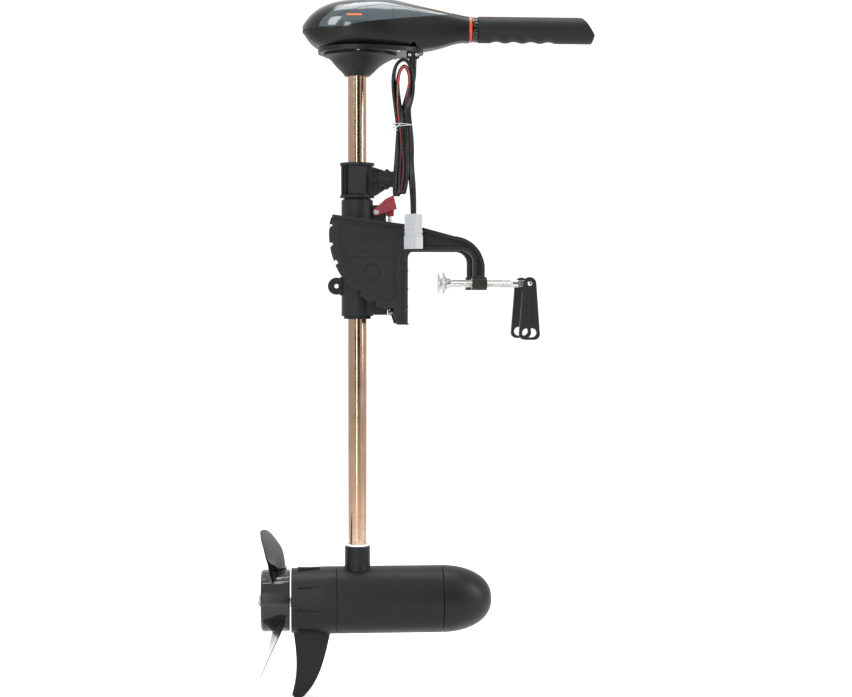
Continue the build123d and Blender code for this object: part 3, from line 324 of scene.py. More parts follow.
@dataclass(frozen=True)
class Metal:
    """A turned, drawn or polished metal finish."""

    slot: str
    bright: Colour
    deep: Colour
    rough: Tuple[float, float]
    marks: Direction = Direction.ANY
    depth: float = 0.00001
    name: str = ""

    def make(self) -> bpy.types.Material:
        """Build the material and return it."""
        material = bpy.data.materials.new(self.name or self.slot)
        material.use_nodes = True
        bench = Bench(material.node_tree)
        shader = material.node_tree.nodes["Principled BSDF"]
        x, y, z = self.marks.value
        marks = bench.add(
            "ShaderNodeGroup", {"node_tree": Effects.turned()}, Along_X=x, Along_Y=y, Along_Z=z
        )
        touch = bench.add("ShaderNodeGroup", {"node_tree": Effects.handling()}, Size=30.0)
        worn = bench.add("ShaderNodeGroup", {"node_tree": Effects.wear()})
        colour = bench.blend(marks.outputs["Shade"], rgba(self.deep), rgba(self.bright))
        colour = bench.blend(
            bench.math("MULTIPLY", worn.outputs["Mask"], 0.3), colour, (0.9, 0.88, 0.85, 1.0)
        )
        bench.feed(shader.inputs["Base Color"], colour)
        low, high = self.rough
        bench.feed(shader.inputs["Roughness"], bench.ranged(touch.outputs["Smudge"], 0.0, 1.0, low, high))
        bump = bench.add(
            "ShaderNodeBump", Height=marks.outputs["Height"], Strength=0.5, Distance=self.depth
        )
        bench.feed(shader.inputs["Normal"], bump.outputs["Normal"])
        shader.inputs["Metallic"].default_value = 1.0
        return material


FINISHES: Dict[str, object] = {
    "casting_black": Moulded(
        "casting_black", (0.0055, 0.00625, 0.00625), (0.01, 0.012, 0.0115), (0.42, 0.56), 1500, 0.00007,
        0.8, 0.12, 0.0125
    ),
    "housing_black": Moulded(
        "housing_black", (0.004, 0.004, 0.00425), (0.0065, 0.0065, 0.00675), (0.34, 0.46), 1900,
        0.00003, 0.5, 0.08, 0.01
    ),
    "cover_black": Moulded(
        "cover_black", (0.0045, 0.0045, 0.00475), (0.007, 0.007, 0.0075), (0.16, 0.26), 1900, 0.00001,
        0.3, 0.06, 0.0075, 0.35
    ),
    "display_slate": Moulded(
        "cover_black", (0.038, 0.05, 0.058), (0.05, 0.064, 0.072), (0.1, 0.2), 2400, 0.000005, 0.2, 0.0,
        0.02, 0.6, name="display_slate"
    ),
    "display_line": Moulded(
        "cover_black", (0.012, 0.016, 0.019), (0.016, 0.02, 0.024), (0.25, 0.35), 2400, 0.000005, 0.2,
        0.0, 0.0, name="display_line"
    ),
    "mark_orange": Moulded(
        "strip_copper", (0.72, 0.13, 0.035), (0.8, 0.18, 0.06), (0.3, 0.42), 2400, 0.000005, 0.2, 0.0,
        0.0, name="mark_orange"
    ),
    "strip_copper": Metal(
        "strip_copper", (0.86, 0.47, 0.24), (0.72, 0.35, 0.16), (0.24, 0.34), Direction.ANY
    ),
    "ring_red": Moulded(
        "ring_red", (0.44, 0.04, 0.015), (0.54, 0.065, 0.025), (0.2, 0.3), 1900, 0.00001, 0.3, 0.1,
        0.02, 0.3
    ),
    "shaft_bronze": Metal(
        "shaft_bronze", (0.40, 0.27, 0.19), (0.29, 0.185, 0.125), (0.13, 0.2), Direction.DRAWN_Z,
        0.000006
    ),
    "steel": Metal("steel", (0.52, 0.51, 0.5), (0.32, 0.315, 0.31), (0.16, 0.3), Direction.AROUND_X),
    "steel_plain": Metal(
        "steel", (0.42, 0.415, 0.41), (0.28, 0.28, 0.275), (0.2, 0.34), Direction.ANY,
        name="steel_plain"
    ),
    "brass": Metal("brass", (0.8, 0.62, 0.3), (0.6, 0.44, 0.2), (0.2, 0.34), Direction.AROUND_X),
    "copper": Metal("copper", (0.8, 0.42, 0.26), (0.6, 0.28, 0.16), (0.22, 0.36), Direction.ANY),
    "lever_red": Moulded(
        "lever_red", (0.17, 0.02, 0.028), (0.23, 0.035, 0.045), (0.36, 0.5), 1700, 0.00004, 0.6, 0.25,
        0.05
    ),
    "cap_red": Moulded(
        "lever_red", (0.2, 0.008, 0.012), (0.26, 0.014, 0.02), (0.3, 0.42), 1700, 0.00003, 0.6, 0.1,
        0.03, name="cap_red"
    ),
    "bush_black": Moulded(
        "bush_black", (0.006, 0.00625, 0.0065), (0.009, 0.0095, 0.01), (0.3, 0.42), 2100, 0.00002, 0.4,
        0.06, 0.0075
    ),
    "hub_gloss": Moulded(
        "hub_gloss", (0.003, 0.003, 0.00325), (0.005, 0.005, 0.0055), (0.1, 0.2), 2100, 0.00001, 0.3,
        0.04, 0.005, 0.4
    ),
    "pod_black": Moulded(
        "pod_black", (0.0045, 0.0045, 0.00475), (0.007, 0.007, 0.00725), (0.36, 0.46), 1700, 0.00003,
        0.6, 0.08, 0.0075
    ),
    "grip_rubber": Moulded(
        "grip_rubber", (0.005, 0.00575, 0.006), (0.0085, 0.0095, 0.01), (0.46, 0.6), 1300, 0.00008, 0.9,
        0.04, 0.0125
    ),
    "cord_black": Moulded(
        "cord_black", (0.0045, 0.0045, 0.00475), (0.0075, 0.008, 0.0085), (0.22, 0.34), 1600, 0.000008,
        0.2, 0, 0.005
    ),
    "cord_stripe": Moulded(
        "cord_black", (0.5, 0.045, 0.03), (0.58, 0.07, 0.045), (0.26, 0.36), 1600, 0.000008, 0.2, 0.0,
        0.02, name="cord_stripe"
    ),
    "tie_grey": Moulded(
        "tie_grey", (0.36, 0.37, 0.39), (0.5, 0.51, 0.53), (0.2, 0.32), 1600, 0.00002, 0.4, 0.0, 0.0
    ),
    "plug_grey": Moulded(
        "plug_grey", (0.3, 0.31, 0.32), (0.37, 0.38, 0.39), (0.3, 0.44), 1700, 0.00003, 0.5, 0.1, 0.03
    ),
    "gasket_white": Moulded(
        "gasket_white", (0.78, 0.78, 0.77), (0.84, 0.84, 0.83), (0.4, 0.52), 1500, 0.00003, 0.5, 0.0,
        0.04
    ),
    "board_green": Moulded(
        "board_green", (0.02, 0.12, 0.06), (0.03, 0.15, 0.08), (0.2, 0.3), 900, 0.00003, 0.4, 0.0, 0.0
    ),
    "magnet_grey": Moulded(
        "magnet_grey", (0.05, 0.05, 0.052), (0.08, 0.08, 0.083), (0.4, 0.55), 1200, 0.00005, 0.7, 0.2,
        0.0
    ),
}
MADE: Dict[str, bpy.types.Material] = {}


def finish(name: str) -> bpy.types.Material:
    """The material of a finish, built when it is first asked for."""
    if name not in MADE:
        MADE[name] = FINISHES[name].make()
    return MADE[name]


# ------------------------------------------------------------------ mesh work
def mesh_piece(
    name: str, points: Iterable[Sequence[float]], faces: Iterable[Sequence[int]],
    finishes: Sequence[str], sharp: float = 38.0
) -> bpy.types.Object:
    """Make a mesh object from points in millimetres.

    Args:
        name: the piece's name.
        points: corner points in millimetres.
        faces: corner indices of each face.
        finishes: names of its finishes, the first one for all faces.
        sharp: edges that turn more than this many degrees stay crisp.

    Returns:
        The new object.
    """
    mesh = bpy.data.meshes.new(name)
    mesh.from_pydata([Vector(point) * MM for point in points], [], [tuple(face) for face in faces])
    piece = bpy.data.objects.new(name, mesh)
    bpy.context.scene.collection.objects.link(piece)
    tidy_mesh(mesh, sharp)
    for label in finishes:
        mesh.materials.append(finish(label))
    return piece


def band(lower: int, upper: int, count: int) -> List[Tuple[int, ...]]:
    """Faces that join two closed rings of points, given where each ring's indices start."""
    steps = [(k, (k + 1) % count) for k in range(count)]
    return [(lower + k, lower + after, upper + after, upper + k) for k, after in steps]


def tidy_mesh(mesh: bpy.types.Mesh, sharp: float, weld: float = 1e-6) -> None:
    """Weld, face outwards and shade a mesh smooth up to an angle."""
    work = bmesh.new()
    work.from_mesh(mesh)
    bmesh.ops.remove_doubles(work, verts=work.verts, dist=weld)
    bmesh.ops.recalc_face_normals(work, faces=work.faces)
    work.to_mesh(mesh)
    work.free()
    if "custom_normal" in mesh.attributes:
        mesh.attributes.remove(mesh.attributes["custom_normal"])
    mesh.polygons.foreach_set("use_smooth", [True] * len(mesh.polygons))
    mesh.set_sharp_from_angle(angle=math.radians(sharp))


def apply_all(piece: bpy.types.Object) -> None:
    """Turn a piece's modifiers into its mesh."""
    depsgraph = bpy.context.evaluated_depsgraph_get()
    mesh = bpy.data.meshes.new_from_object(piece.evaluated_get(depsgraph))
    piece.modifiers.clear()
    piece.data = mesh


def soften(piece: bpy.types.Object, width: float, segments: int = 2, limit: float = 32.0) -> None:
    """Round a piece's edges with real bevels.

    Args:
        piece: the object.
        width: bevel width in millimetres.
        segments: faces across each bevel.
        limit: edges that turn less than this many degrees are left alone.
    """
    bevel = piece.modifiers.new("edges", "BEVEL")
    bevel.width = width * MM
    bevel.segments = segments
    bevel.limit_method = "ANGLE"
    bevel.angle_limit = math.radians(limit)
    bevel.use_clamp_overlap = True
    bevel.miter_outer = "MITER_ARC"
    apply_all(piece)
    piece.data.polygons.foreach_set("use_smooth", [True] * len(piece.data.polygons))
    piece.data.set_sharp_from_angle(angle=math.radians(48))
    weighted = piece.modifiers.new("flats", "WEIGHTED_NORMAL")
    weighted.keep_sharp = True
    weighted.weight = 60
    apply_all(piece)


def refined(
    node: str, label: str, name: str, width: float = 0.6, segments: int = 2, limit: float = 32.0
) -> bpy.types.Object:
    """Stand a rounded-edge piece in for a node of the frame.

    Args:
        node: the frame's node.
        label: the finish.
        name: the new piece's name.
        width: bevel width in millimetres.
        segments: faces across each bevel.
        limit: smallest edge angle that gets a bevel, in degrees.

    Returns:
        The new piece, riding where the node rides.
    """
    mesh = bpy.data.meshes.new(name)
    work = bmesh.new()
    work.from_mesh(frame["nodes"][node].data)
    bmesh.ops.remove_doubles(work, verts=work.verts, dist=2e-6)
    bmesh.ops.dissolve_limit(work, angle_limit=math.radians(0.4), verts=work.verts, edges=work.edges)
    bmesh.ops.recalc_face_normals(work, faces=work.faces)
    work.to_mesh(mesh)
    work.free()
    if "custom_normal" in mesh.attributes:
        mesh.attributes.remove(mesh.attributes["custom_normal"])
    mesh.materials.clear()
    mesh.materials.append(finish(label))
    for polygon in mesh.polygons:
        polygon.material_index = 0
    piece = bpy.data.objects.new(name, mesh)
    bpy.context.scene.collection.objects.link(piece)
    soften(piece, width, segments, limit)
    settle(piece, body_of_node(node), label, node)
    return piece


def body_of_node(node: str) -> str:
    """The name of the body that a node of the frame rides on."""
    for body, nodes in frame["record"]["behaviour"]["bodies"].items():
        if node in nodes:
            return body
    raise KeyError(node)


def settle(piece: bpy.types.Object, body: str, label: str, *nodes: str) -> bpy.types.Object:
    """Mount a piece on its body and hide the nodes it stands for.

    Args:
        piece: the object.
        body: the body it moves with.
        label: its finish; not used.
        nodes: frame nodes that it stands for.

    Returns:
        The same piece.
    """
    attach(piece, body)
    if nodes:
        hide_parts(*nodes)
    LOG.info("%s on %s", piece.name, body)
    return piece


@dataclass(frozen=True)
class Spot:
    """A place and its three directions: along the axis, and two across it."""

    centre: Point
    along: Point
    side: Point

    def at(self, a: float, s: float, t: float) -> Vector:
        """The point a along, s to the side and t to the third direction, in millimetres."""
        along = Vector(self.along)
        side = Vector(self.side)
        return Vector(self.centre) + along * a + side * s + along.cross(side) * t


def lathe(
    name: str, spot: Spot, profile: Sequence[Tuple[float, float]], label: str, around: int = 96,
    sharp: float = 30.0, radial: Optional[Callable[[float, float, float], float]] = None
) -> bpy.types.Object:
    """Turn a closed profile of (distance along, radius) about a spot's axis.

    Args:
        name: the piece's name.
        spot: where the axis lies.
        profile: points of the profile, closed on itself or ending on the axis.
        label: the finish.
        around: number of steps in a turn.
        sharp: crisp edge angle in degrees.
        radial: optional change of radius from (along, radius, angle).

    Returns:
        The turned piece.
    """
    points: List[Vector] = []
    faces: List[Tuple[int, ...]] = []
    count = len(profile)
    for step in range(around):
        angle = 2 * math.pi * step / around
        for along, radius in profile:
            reach = radial(along, radius, angle) if radial else radius
            points.append(spot.at(along, reach * math.cos(angle), reach * math.sin(angle)))
    closed = profile[0][1] > 1e-6 or profile[-1][1] > 1e-6
    last = count if closed else count - 1
    for step in range(around):
        here = step * count
        there = ((step + 1) % around) * count
        for index in range(last):
            following = (index + 1) % count
            faces.append((here + index, here + following, there + following, there + index))
    piece = mesh_piece(name, points, faces, [label], sharp)
    drop_thin_faces(piece.data)
    piece.data.set_sharp_from_angle(angle=math.radians(sharp))
    return piece


def drop_thin_faces(mesh: bpy.types.Mesh) -> None:
    """Remove faces that closed up on the axis."""
    work = bmesh.new()
    work.from_mesh(mesh)
    bmesh.ops.dissolve_degenerate(work, dist=1e-6, edges=work.edges)
    bmesh.ops.recalc_face_normals(work, faces=work.faces)
    work.to_mesh(mesh)
    work.free()


def rounded(
    profile: Sequence[Tuple[float, float]], radius: float, steps: int = 3
) -> List[Tuple[float, float]]:
    """Cut each corner of a closed profile with a small arc.

    Args:
        profile: the corner points.
        radius: how far each arc reaches along the runs.
        steps: points in each arc.

    Returns:
        The profile with its corners rounded.
    """
    result: List[Tuple[float, float]] = []
    count = len(profile)
    for index, corner in enumerate(profile):
        here = Vector(corner)
        before = Vector(profile[index - 1])
        after = Vector(profile[(index + 1) % count])
        if here.y < 1e-6:
            result.append(tuple(corner))
            continue
        back = (before - here)
        ahead = (after - here)
        reach = min(radius, back.length * 0.45, ahead.length * 0.45)
        first = here + back.normalized() * reach
        last = here + ahead.normalized() * reach
        for step in range(steps + 1):
            t = step / steps
            spot = first * (1 - t) ** 2 + here * 2 * t * (1 - t) + last * t**2
            result.append((spot.x, spot.y))
    return result


def prism(
    name: str, spot: Spot, outline: Sequence[Tuple[float, float]], depth: float, label: str,
    width: float = 0.3
) -> bpy.types.Object:
    """Push a flat outline along a spot's axis and round its edges.

    Args:
        name: the piece's name.
        spot: where the outline lies, square to the axis.
        outline: points in the two cross directions, in millimetres.
        depth: how far it is pushed.
        label: the finish.
        width: bevel width.

    Returns:
        The new piece.
    """
    count = len(outline)
    points = [spot.at(0, s, t) for s, t in outline] + [spot.at(depth, s, t) for s, t in outline]
    faces: List[Tuple[int, ...]] = [tuple(range(count)), tuple(range(count, 2 * count))]
    faces += band(0, count, count)
    piece = mesh_piece(name, points, faces, [label])
    if width:
        soften(piece, width)
    return piece


def ring_outline(radius: float, count: int, turn: float = 0.0) -> List[Tuple[float, float]]:
    """Points of a regular polygon or circle."""
    return [
        (
            radius * math.cos(turn + 2 * math.pi * k / count),
            radius * math.sin(turn + 2 * math.pi * k / count)
        ) for k in range(count)
    ]


def joined(name: str, pieces: Sequence[bpy.types.Object]) -> bpy.types.Object:
    """Merge loose pieces of one body and finish into one object.

    Args:
        name: the merged piece's name.
        pieces: the objects to merge.

    Returns:
        The merged object.
    """
    work = bmesh.new()
    finishes: List[bpy.types.Material] = []
    for piece in pieces:
        start = len(work.faces)
        work.from_mesh(piece.data)
        work.faces.ensure_lookup_table()
        shift = len(finishes)
        for index in range(start, len(work.faces)):
            work.faces[index].material_index += shift
        finishes += list(piece.data.materials)
    mesh = bpy.data.meshes.new(name)
    work.to_mesh(mesh)
    work.free()
    for material in finishes:
        mesh.materials.append(material)
    for piece in pieces:
        bpy.data.objects.remove(piece)
    whole = bpy.data.objects.new(name, mesh)
    bpy.context.scene.collection.objects.link(whole)
    return whole


# ------------------------------------------------------------------ the pieces
@dataclass
class Lead:
    """The flat twin supply lead with its tie, strain relief and plug."""

    width: float = 10.4
    thickness: float = 5.2
    length: float = 1.08
    stripe: int = 3
    # x, y, z of each control point, then the direction of the flat side's width
    route: Tuple[Tuple[Point, Point], ...] = (
        ((9, -30, 342), (1, 0, 0)),
        ((9.5, -30.5, 326), (1, 0, 0)),
        ((8, -34, 308), (1, 0, 0.2)),
        ((1, -41, 284), (0.8, -0.5, 0)),
        ((-8, -51.2, 256), (0.7, -0.6, 0)),
        ((-13, -57, 232), (0.9, -0.3, 0)),
        ((-15, -60, 195), (1, 0, 0)),
        ((-18, -62, 160), (1, 0, 0)),
        ((-18.5, -63, 139), (1, 0, 0)),
        ((-18.2, -64.5, 133), (1, 0, 0)),
        ((-17, -73.5, 133), (1, 0, 0)),
        ((-16.5, -75, 140), (1, 0, 0)),
        ((-15, -71, 165), (1, 0, 0)),
        ((-12.5, -66.5, 200), (1, 0, 0)),
        ((-13.5, -63.5, 236), (1, 0.1, 0)),
        ((-16.5, -54.2, 262), (0.9, 0.4, 0)),
        ((-20, -47, 290), (0.7, 0.7, 0)),
        ((-21.5, -42, 313), (0.3, 0.95, 0)),
        ((-17, -39, 333), (0, 1, 0)),
        ((-5, -38.5, 341), (0, 1, 0)),
        ((4, -38, 333), (0, 1, 0)),
        ((8.5, -40, 311), (-0.3, 0.95, 0)),
        ((6.5, -45, 284), (-0.7, 0.7, 0)),
        ((-2, -51.3, 258), (-0.9, 0.4, 0)),
        ((-6, -58.5, 236), (-1, 0.1, 0)),
        ((-5.5, -62, 200), (-1, 0, 0)),
        ((-8, -65, 165), (-1, 0, 0)),
        ((-10.5, -69, 143), (-1, 0, 0)),
        ((-10.2, -69.5, 136), (-1, 0, 0)),
        ((-9, -78, 136), (-1, 0, 0)),
        ((-7.5, -79, 143), (-1, 0, 0)),
        ((-4, -74.5, 166), (-1, 0, 0)),
        ((-4.5, -69.5, 200), (-1, 0, 0)),
        ((-9, -66.5, 236), (-0.95, -0.3, 0)),
        ((-13, -57.2, 262), (-0.7, -0.7, 0)),
        ((-15, -50, 288), (-0.3, -0.95, 0)),
        ((-15, -45, 308), (0, -1, 0)),
        ((-12, -42, 322), (0, -1, 0)),
        ((-4.5, -41, 331), (0, -1, 0)),
        ((2, -41.5, 322), (0, -1, 0)),
        ((4, -44, 304), (-0.2, -0.95, 0)),
        ((2, -49, 282), (-0.7, -0.7, 0)),
        ((-1, -56.3, 258), (-1, -0.2, 0)),
        ((1.5, -65.5, 232), (-1, 0.1, 0)),
        ((3.5, -68.5, 205), (-1, 0.1, 0)),
        ((3, -68.5, 180), (-1, 0.2, 0)),
        ((5.5, -73, 150), (-0.9, 0.4, 0)),
        ((7, -76, 122), (-0.7, 0.7, 0)),
        ((7, -76, 104), (-0.57, 0.82, 0)),
    )

    def centreline(self) -> List[Vector]:
        """Read the points of the route's smooth spline, in metres."""
        curve = bpy.data.curves.new("lead_route", "CURVE")
        curve.dimensions = "3D"
        curve.resolution_u = 14
        spline = curve.splines.new("NURBS")
        spline.points.add(len(self.route) - 1)
        for knot, (place, _) in zip(spline.points, self.route):
            knot.co = (place[0] * MM, place[1] * MM, place[2] * MM, 1.0)
        spline.order_u = 3
        spline.use_endpoint_u = True
        holder = bpy.data.objects.new("lead_route", curve)
        bpy.context.scene.collection.objects.link(holder)
        depsgraph = bpy.context.evaluated_depsgraph_get()
        mesh = bpy.data.meshes.new_from_object(holder.evaluated_get(depsgraph))
        points = [vertex.co.copy() for vertex in mesh.vertices]
        bpy.data.meshes.remove(mesh)
        bpy.data.objects.remove(holder)
        return points

    def across(self, share: float) -> Vector:
        """The width direction at a share of the route, between its control points."""
        place = share * (len(self.route) - 2) + 0.5
        place = min(max(place, 0.0), len(self.route) - 1.0)
        low = min(int(place), len(self.route) - 2)
        first = Vector(self.route[low][1])
        last = Vector(self.route[low + 1][1])
        return first.lerp(last, place - low)

    def section(self) -> List[Tuple[float, float]]:
        """Outline of the two joined cores, in millimetres."""
        lobe = self.thickness / 2
        shift = self.width / 2 - lobe
        right = [
            (
                shift + lobe * math.cos(a), lobe * math.sin(a)
            ) for a in (math.radians(d) for d in range(-120, 121, 24))
        ]
        left = [(-x, -y) for x, y in right]
        return right + left

    def cable(self) -> Tuple[bpy.types.Object, List[Vector]]:
        """Sweep the section along the centreline and return the cable and its path."""
        path = self.centreline()
        section = self.section()
        count = len(section)
        points: List[Vector] = []
        faces: List[Tuple[int, ...]] = []
        last = len(path) - 1
        for index, place in enumerate(path):
            tangent = (path[min(index + 1, last)] - path[max(index - 1, 0)]).normalized()
            side = self.across(index / last)
            side = (side - tangent * side.dot(tangent)).normalized()
            up = tangent.cross(side)
            points += [place / MM + side * x + up * y for x, y in section]
        for ring in range(last):
            faces += band(ring * count, (ring + 1) * count, count)
        faces.append(tuple(range(count)))
        faces.append(tuple(last * count + step for step in range(count)))
        piece = mesh_piece("supply_lead", points, faces, ["cord_black", "cord_stripe"], 50)
        middle = count // 4
        for face in range(last * count):
            if face % count == middle:
                piece.data.polygons[face].material_index = 1
        return piece, path

    def tie(self) -> bpy.types.Object:
        """A twisted wire tie wound twice round the hank, with its curled ends."""
        curve = bpy.data.curves.new("lead_tie", "CURVE")
        curve.dimensions = "3D"
        curve.bevel_depth = 0.55 * MM
        curve.bevel_resolution = 3
        for height, lean, reach in ((236.6, 1.4, 1.0), (239.2, -1.0, 1.03)):
            spline = curve.splines.new("NURBS")
            ring = [
                (-23.5, -56), (-23, -66.5), (-9.5, -70.5), (4, -69), (6.5, -61), (3.5, -50),
                (-9.5, -46.5), (-23, -48.5)
            ]
            spline.points.add(len(ring) - 1)
            for knot, (x, y) in zip(spline.points, ring):
                knot.co = (
                    (-9.5 + (x + 9.5) * reach) * MM, (-59 + (y + 59) * reach) * MM,
                    (height + lean * (x + 8) / 14) * MM, 1
                )
            spline.order_u = 4
            spline.use_cyclic_u = True
        for turn in (0.0, math.pi):
            spline = curve.splines.new("NURBS")
            spline.points.add(15)
            for k in range(16):
                angle = turn + k * 1.25
                away = 0.75 if k < 12 else 0.75 + (k - 11) * 1.1
                x = -12 - 0.65 * k + away * math.cos(angle)
                spline.points[k].co = (
                    x * MM, (-70.8 + away * 0.7 * math.sin(angle)) * MM,
                    (239 - 0.55 * k + away * math.sin(angle)) * MM, 1
                )
            spline.order_u = 4
            spline.use_endpoint_u = True
        piece = bpy.data.objects.new("lead_tie", curve)
        bpy.context.scene.collection.objects.link(piece)
        tube = apply_curve(piece)
        tube.data.materials.append(finish("tie_grey"))
        return tube

    def relief(self) -> bpy.types.Object:
        """A tapered, ribbed sleeve where the lead leaves the head."""
        spot = Spot((9, -30, 343), (0, 0, -1), (1, 0, 0))
        profile = [(0, 0), (0, 6.6)]
        for rib in range(5):
            along = 1.2 + rib * 3.6
            radius = 6.4 - rib * 0.32
            profile += [
                (along, radius), (along + 2.0, radius - 0.12), (along + 2.2, radius - 1.0),
                (along + 3.2, radius - 1.0)
            ]
        profile += [(19.6, 5.1), (20.4, 4.4), (20.4, 0)]

        def flat(along: float, radius: float, angle: float) -> float:
            """Squash the sleeve to the flat lead's section."""
            return radius / math.hypot(math.cos(angle), math.sin(angle) * 1.3)

        return lathe("lead_relief", spot, profile, "bush_black", 48, 30, flat)

    def plug(self) -> List[bpy.types.Object]:
        """The two-pole connector with its ridges, housings and contacts."""
        turn = math.radians(-55)
        side = (math.cos(turn), math.sin(turn), 0)
        body = refined("plug_body", "plug_grey", "plug_shell", 0.5, 3, 25)
        spot = Spot((7, -76, 70), (0, 0, 1), side)
        lines = []
        for sign in (-1, 1):
            for k in range(4):
                block = Spot((7, -76, 73.5 + 7 * k), (0, 0, 1), side)
                lines.append(
                    prism(
                        "ridge", block,
                        [(-9, sign * 6.1), (9, sign * 6.1), (9, sign * 6.75), (-9, sign * 6.75)], 1.1,
                        "plug_grey", 0.2
                    )
                )
        collar = [(-14.6, -6.6), (14.6, -6.6), (14.6, 6.6), (-14.6, 6.6)]
        lines.append(prism("band", spot, collar, 1.4, "plug_grey", 0.35))
        trim = joined("plug_ridges", lines)
        settle(trim, "lead", "plug_grey")
        contacts = refined("plug_contacts", "copper", "plug_blades", 0.2)
        return [body, trim, contacts]

    def build(self) -> None:
        """Make the whole lead and mount its tie, sleeve and plug."""
        cable, path = self.cable()
        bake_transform(cable)
        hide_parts("cord_upper", "cord_hank", "cord_lower")
        tie = settle(self.tie(), "lead", "tie_grey", "cord_tie")
        relief = settle(self.relief(), "mast", "bush_black")
        plug = self.plug()


def apply_curve(piece: bpy.types.Object) -> bpy.types.Object:
    """Swap a curve object for a mesh of its tube with the same name, and return it."""
    depsgraph = bpy.context.evaluated_depsgraph_get()
    mesh = bpy.data.meshes.new_from_object(piece.evaluated_get(depsgraph))
    name = piece.name
    bpy.data.objects.remove(piece)
    fresh = bpy.data.objects.new(name, mesh)
    bpy.context.scene.collection.objects.link(fresh)
    mesh.polygons.foreach_set("use_smooth", [True] * len(mesh.polygons))
    return fresh


@dataclass
class Studio:
    """Floor, soft light and the camera."""

    camera_place: Point = (-0.150, -2.560, -0.0108)
    yaw: float = 4.053
    pitch: float = 1.999
    roll: float = 0.040
    focal_px: float = 1657.0
    frame_px: float = 852.0

    def camera(self) -> None:
        """Set the camera at its place, looking a little right and down."""
        data = bpy.data.cameras.new("camera")
        data.sensor_fit = "HORIZONTAL"
        data.sensor_width = 36.0
        data.lens = self.focal_px * data.sensor_width / self.frame_px
        data.clip_end = 100
        viewer = bpy.data.objects.new("camera", data)
        bpy.context.scene.collection.objects.link(viewer)
        turn = Matrix.Rotation(math.radians(-self.yaw), 4, "Z")
        tilt = Matrix.Rotation(math.radians(90 - self.pitch), 4, "X")
        roll = Matrix.Rotation(math.radians(self.roll), 4, "Z")
        viewer.matrix_world = Matrix.Translation(self.camera_place) @ turn @ tilt @ roll
        bpy.context.scene.camera = viewer

    def floor(self) -> None:
        """A plain pale floor below the skeg."""
        low = CAD_BOX[0][2]
        size = 30000
        level = low / MM - 4
        points = [(-size, -size, level), (size, -size, level), (size, size, level), (-size, size, level)]
        floor = mesh_piece("floor", points, [(0, 1, 2, 3)], [])
        material = bpy.data.materials.new("floor_pale")
        material.use_nodes = True
        bench = Bench(material.node_tree)
        shader = material.node_tree.nodes["Principled BSDF"]
        place = bench.add("ShaderNodeTexCoord").outputs["Object"]
        cloud = bench.noise(place, 1.5, 3.0)
        bench.feed(
            shader.inputs["Base Color"],
            bench.blend(cloud, (0.95, 0.95, 0.95, 1), (0.97, 0.97, 0.97, 1))
        )
        shader.inputs["Roughness"].default_value = 0.75
        floor.data.materials.append(material)
        floor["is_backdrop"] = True

    def flag(self) -> None:
        """A black panel behind the camera that deepens the reflections."""
        points = [(-2600, -4200, -500), (2600, -4200, -500), (2600, -4200, 2600), (-2600, -4200, 2600)]
        panel = mesh_piece("flag", points, [(0, 1, 2, 3)], [])
        material = bpy.data.materials.new("flag_black")
        material.use_nodes = True
        shader = material.node_tree.nodes["Principled BSDF"]
        shader.inputs["Base Color"].default_value = (0.01, 0.01, 0.01, 1)
        shader.inputs["Roughness"].default_value = 1.0
        panel.data.materials.append(material)
        panel.visible_camera = False
        panel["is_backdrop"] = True

    def soft_box(
        self, name: str, place: Point, target: Point, size: Tuple[float, float], power: float
    ) -> None:
        """Add an area light that faces a target."""
        data = bpy.data.lights.new(name, "AREA")
        data.shape = "RECTANGLE"
        data.size, data.size_y = size
        data.energy = power
        lamp = bpy.data.objects.new(name, data)
        bpy.context.scene.collection.objects.link(lamp)
        lamp.location = place
        lamp.rotation_euler = (Vector(target) - Vector(place)).to_track_quat("-Z", "Y").to_euler()
        lamp.visible_camera = False

    def build(self) -> None:
        """Set up the whole studio."""
        world = bpy.data.worlds.new("studio")
        bpy.context.scene.world = world
        world.use_nodes = True
        world.node_tree.nodes["Background"].inputs[0].default_value = (1, 1, 1, 1)
        world.node_tree.nodes["Background"].inputs[1].default_value = 1.12
        bpy.context.scene.view_settings.view_transform = "Standard"
        self.soft_box("key", (-1.6, -2.2, 1.9), (0, 0, 0), (0.9, 2.2), 70)
        self.soft_box("strip", (-0.5, -2.6, 0.1), (-0.07, 0, 0), (0.35, 2.6), 26)
        self.soft_box("side", (2.2, -0.9, 0.8), (0, 0, 0), (0.5, 2.0), 36)
        self.soft_box("top", (0.1, 0.3, 2.4), (0, 0, 0), (1.6, 1.2), 40)
        self.flag()
        self.floor()
        self.camera()


@dataclass
class Mast:
    """The long shaft tube with its gasket."""

    radius: float = 14.3

    def tube(self) -> None:
        """The bronze-coloured tube."""
        low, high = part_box("shaft_tube")
        spot = Spot((SHAFT_X, 0, low.z / MM), (0, 0, 1), (1, 0, 0))
        length = (high.z - low.z) / MM
        profile = [
            (0, self.radius), (length, self.radius), (length, self.radius - 2.2), (0, self.radius - 2.2)
        ]
        rows = [(length * k / 12, self.radius) for k in range(13)] + [profile[2], profile[3]]
        settle(lathe("shaft", spot, rows, "shaft_bronze", 128), "mast", "shaft_bronze", "shaft_tube")

    def build(self) -> None:
        """Make the shaft's visible pieces."""
        self.tube()
        refined("shaft_gasket", "gasket_white", "gasket", 0.8, 3)


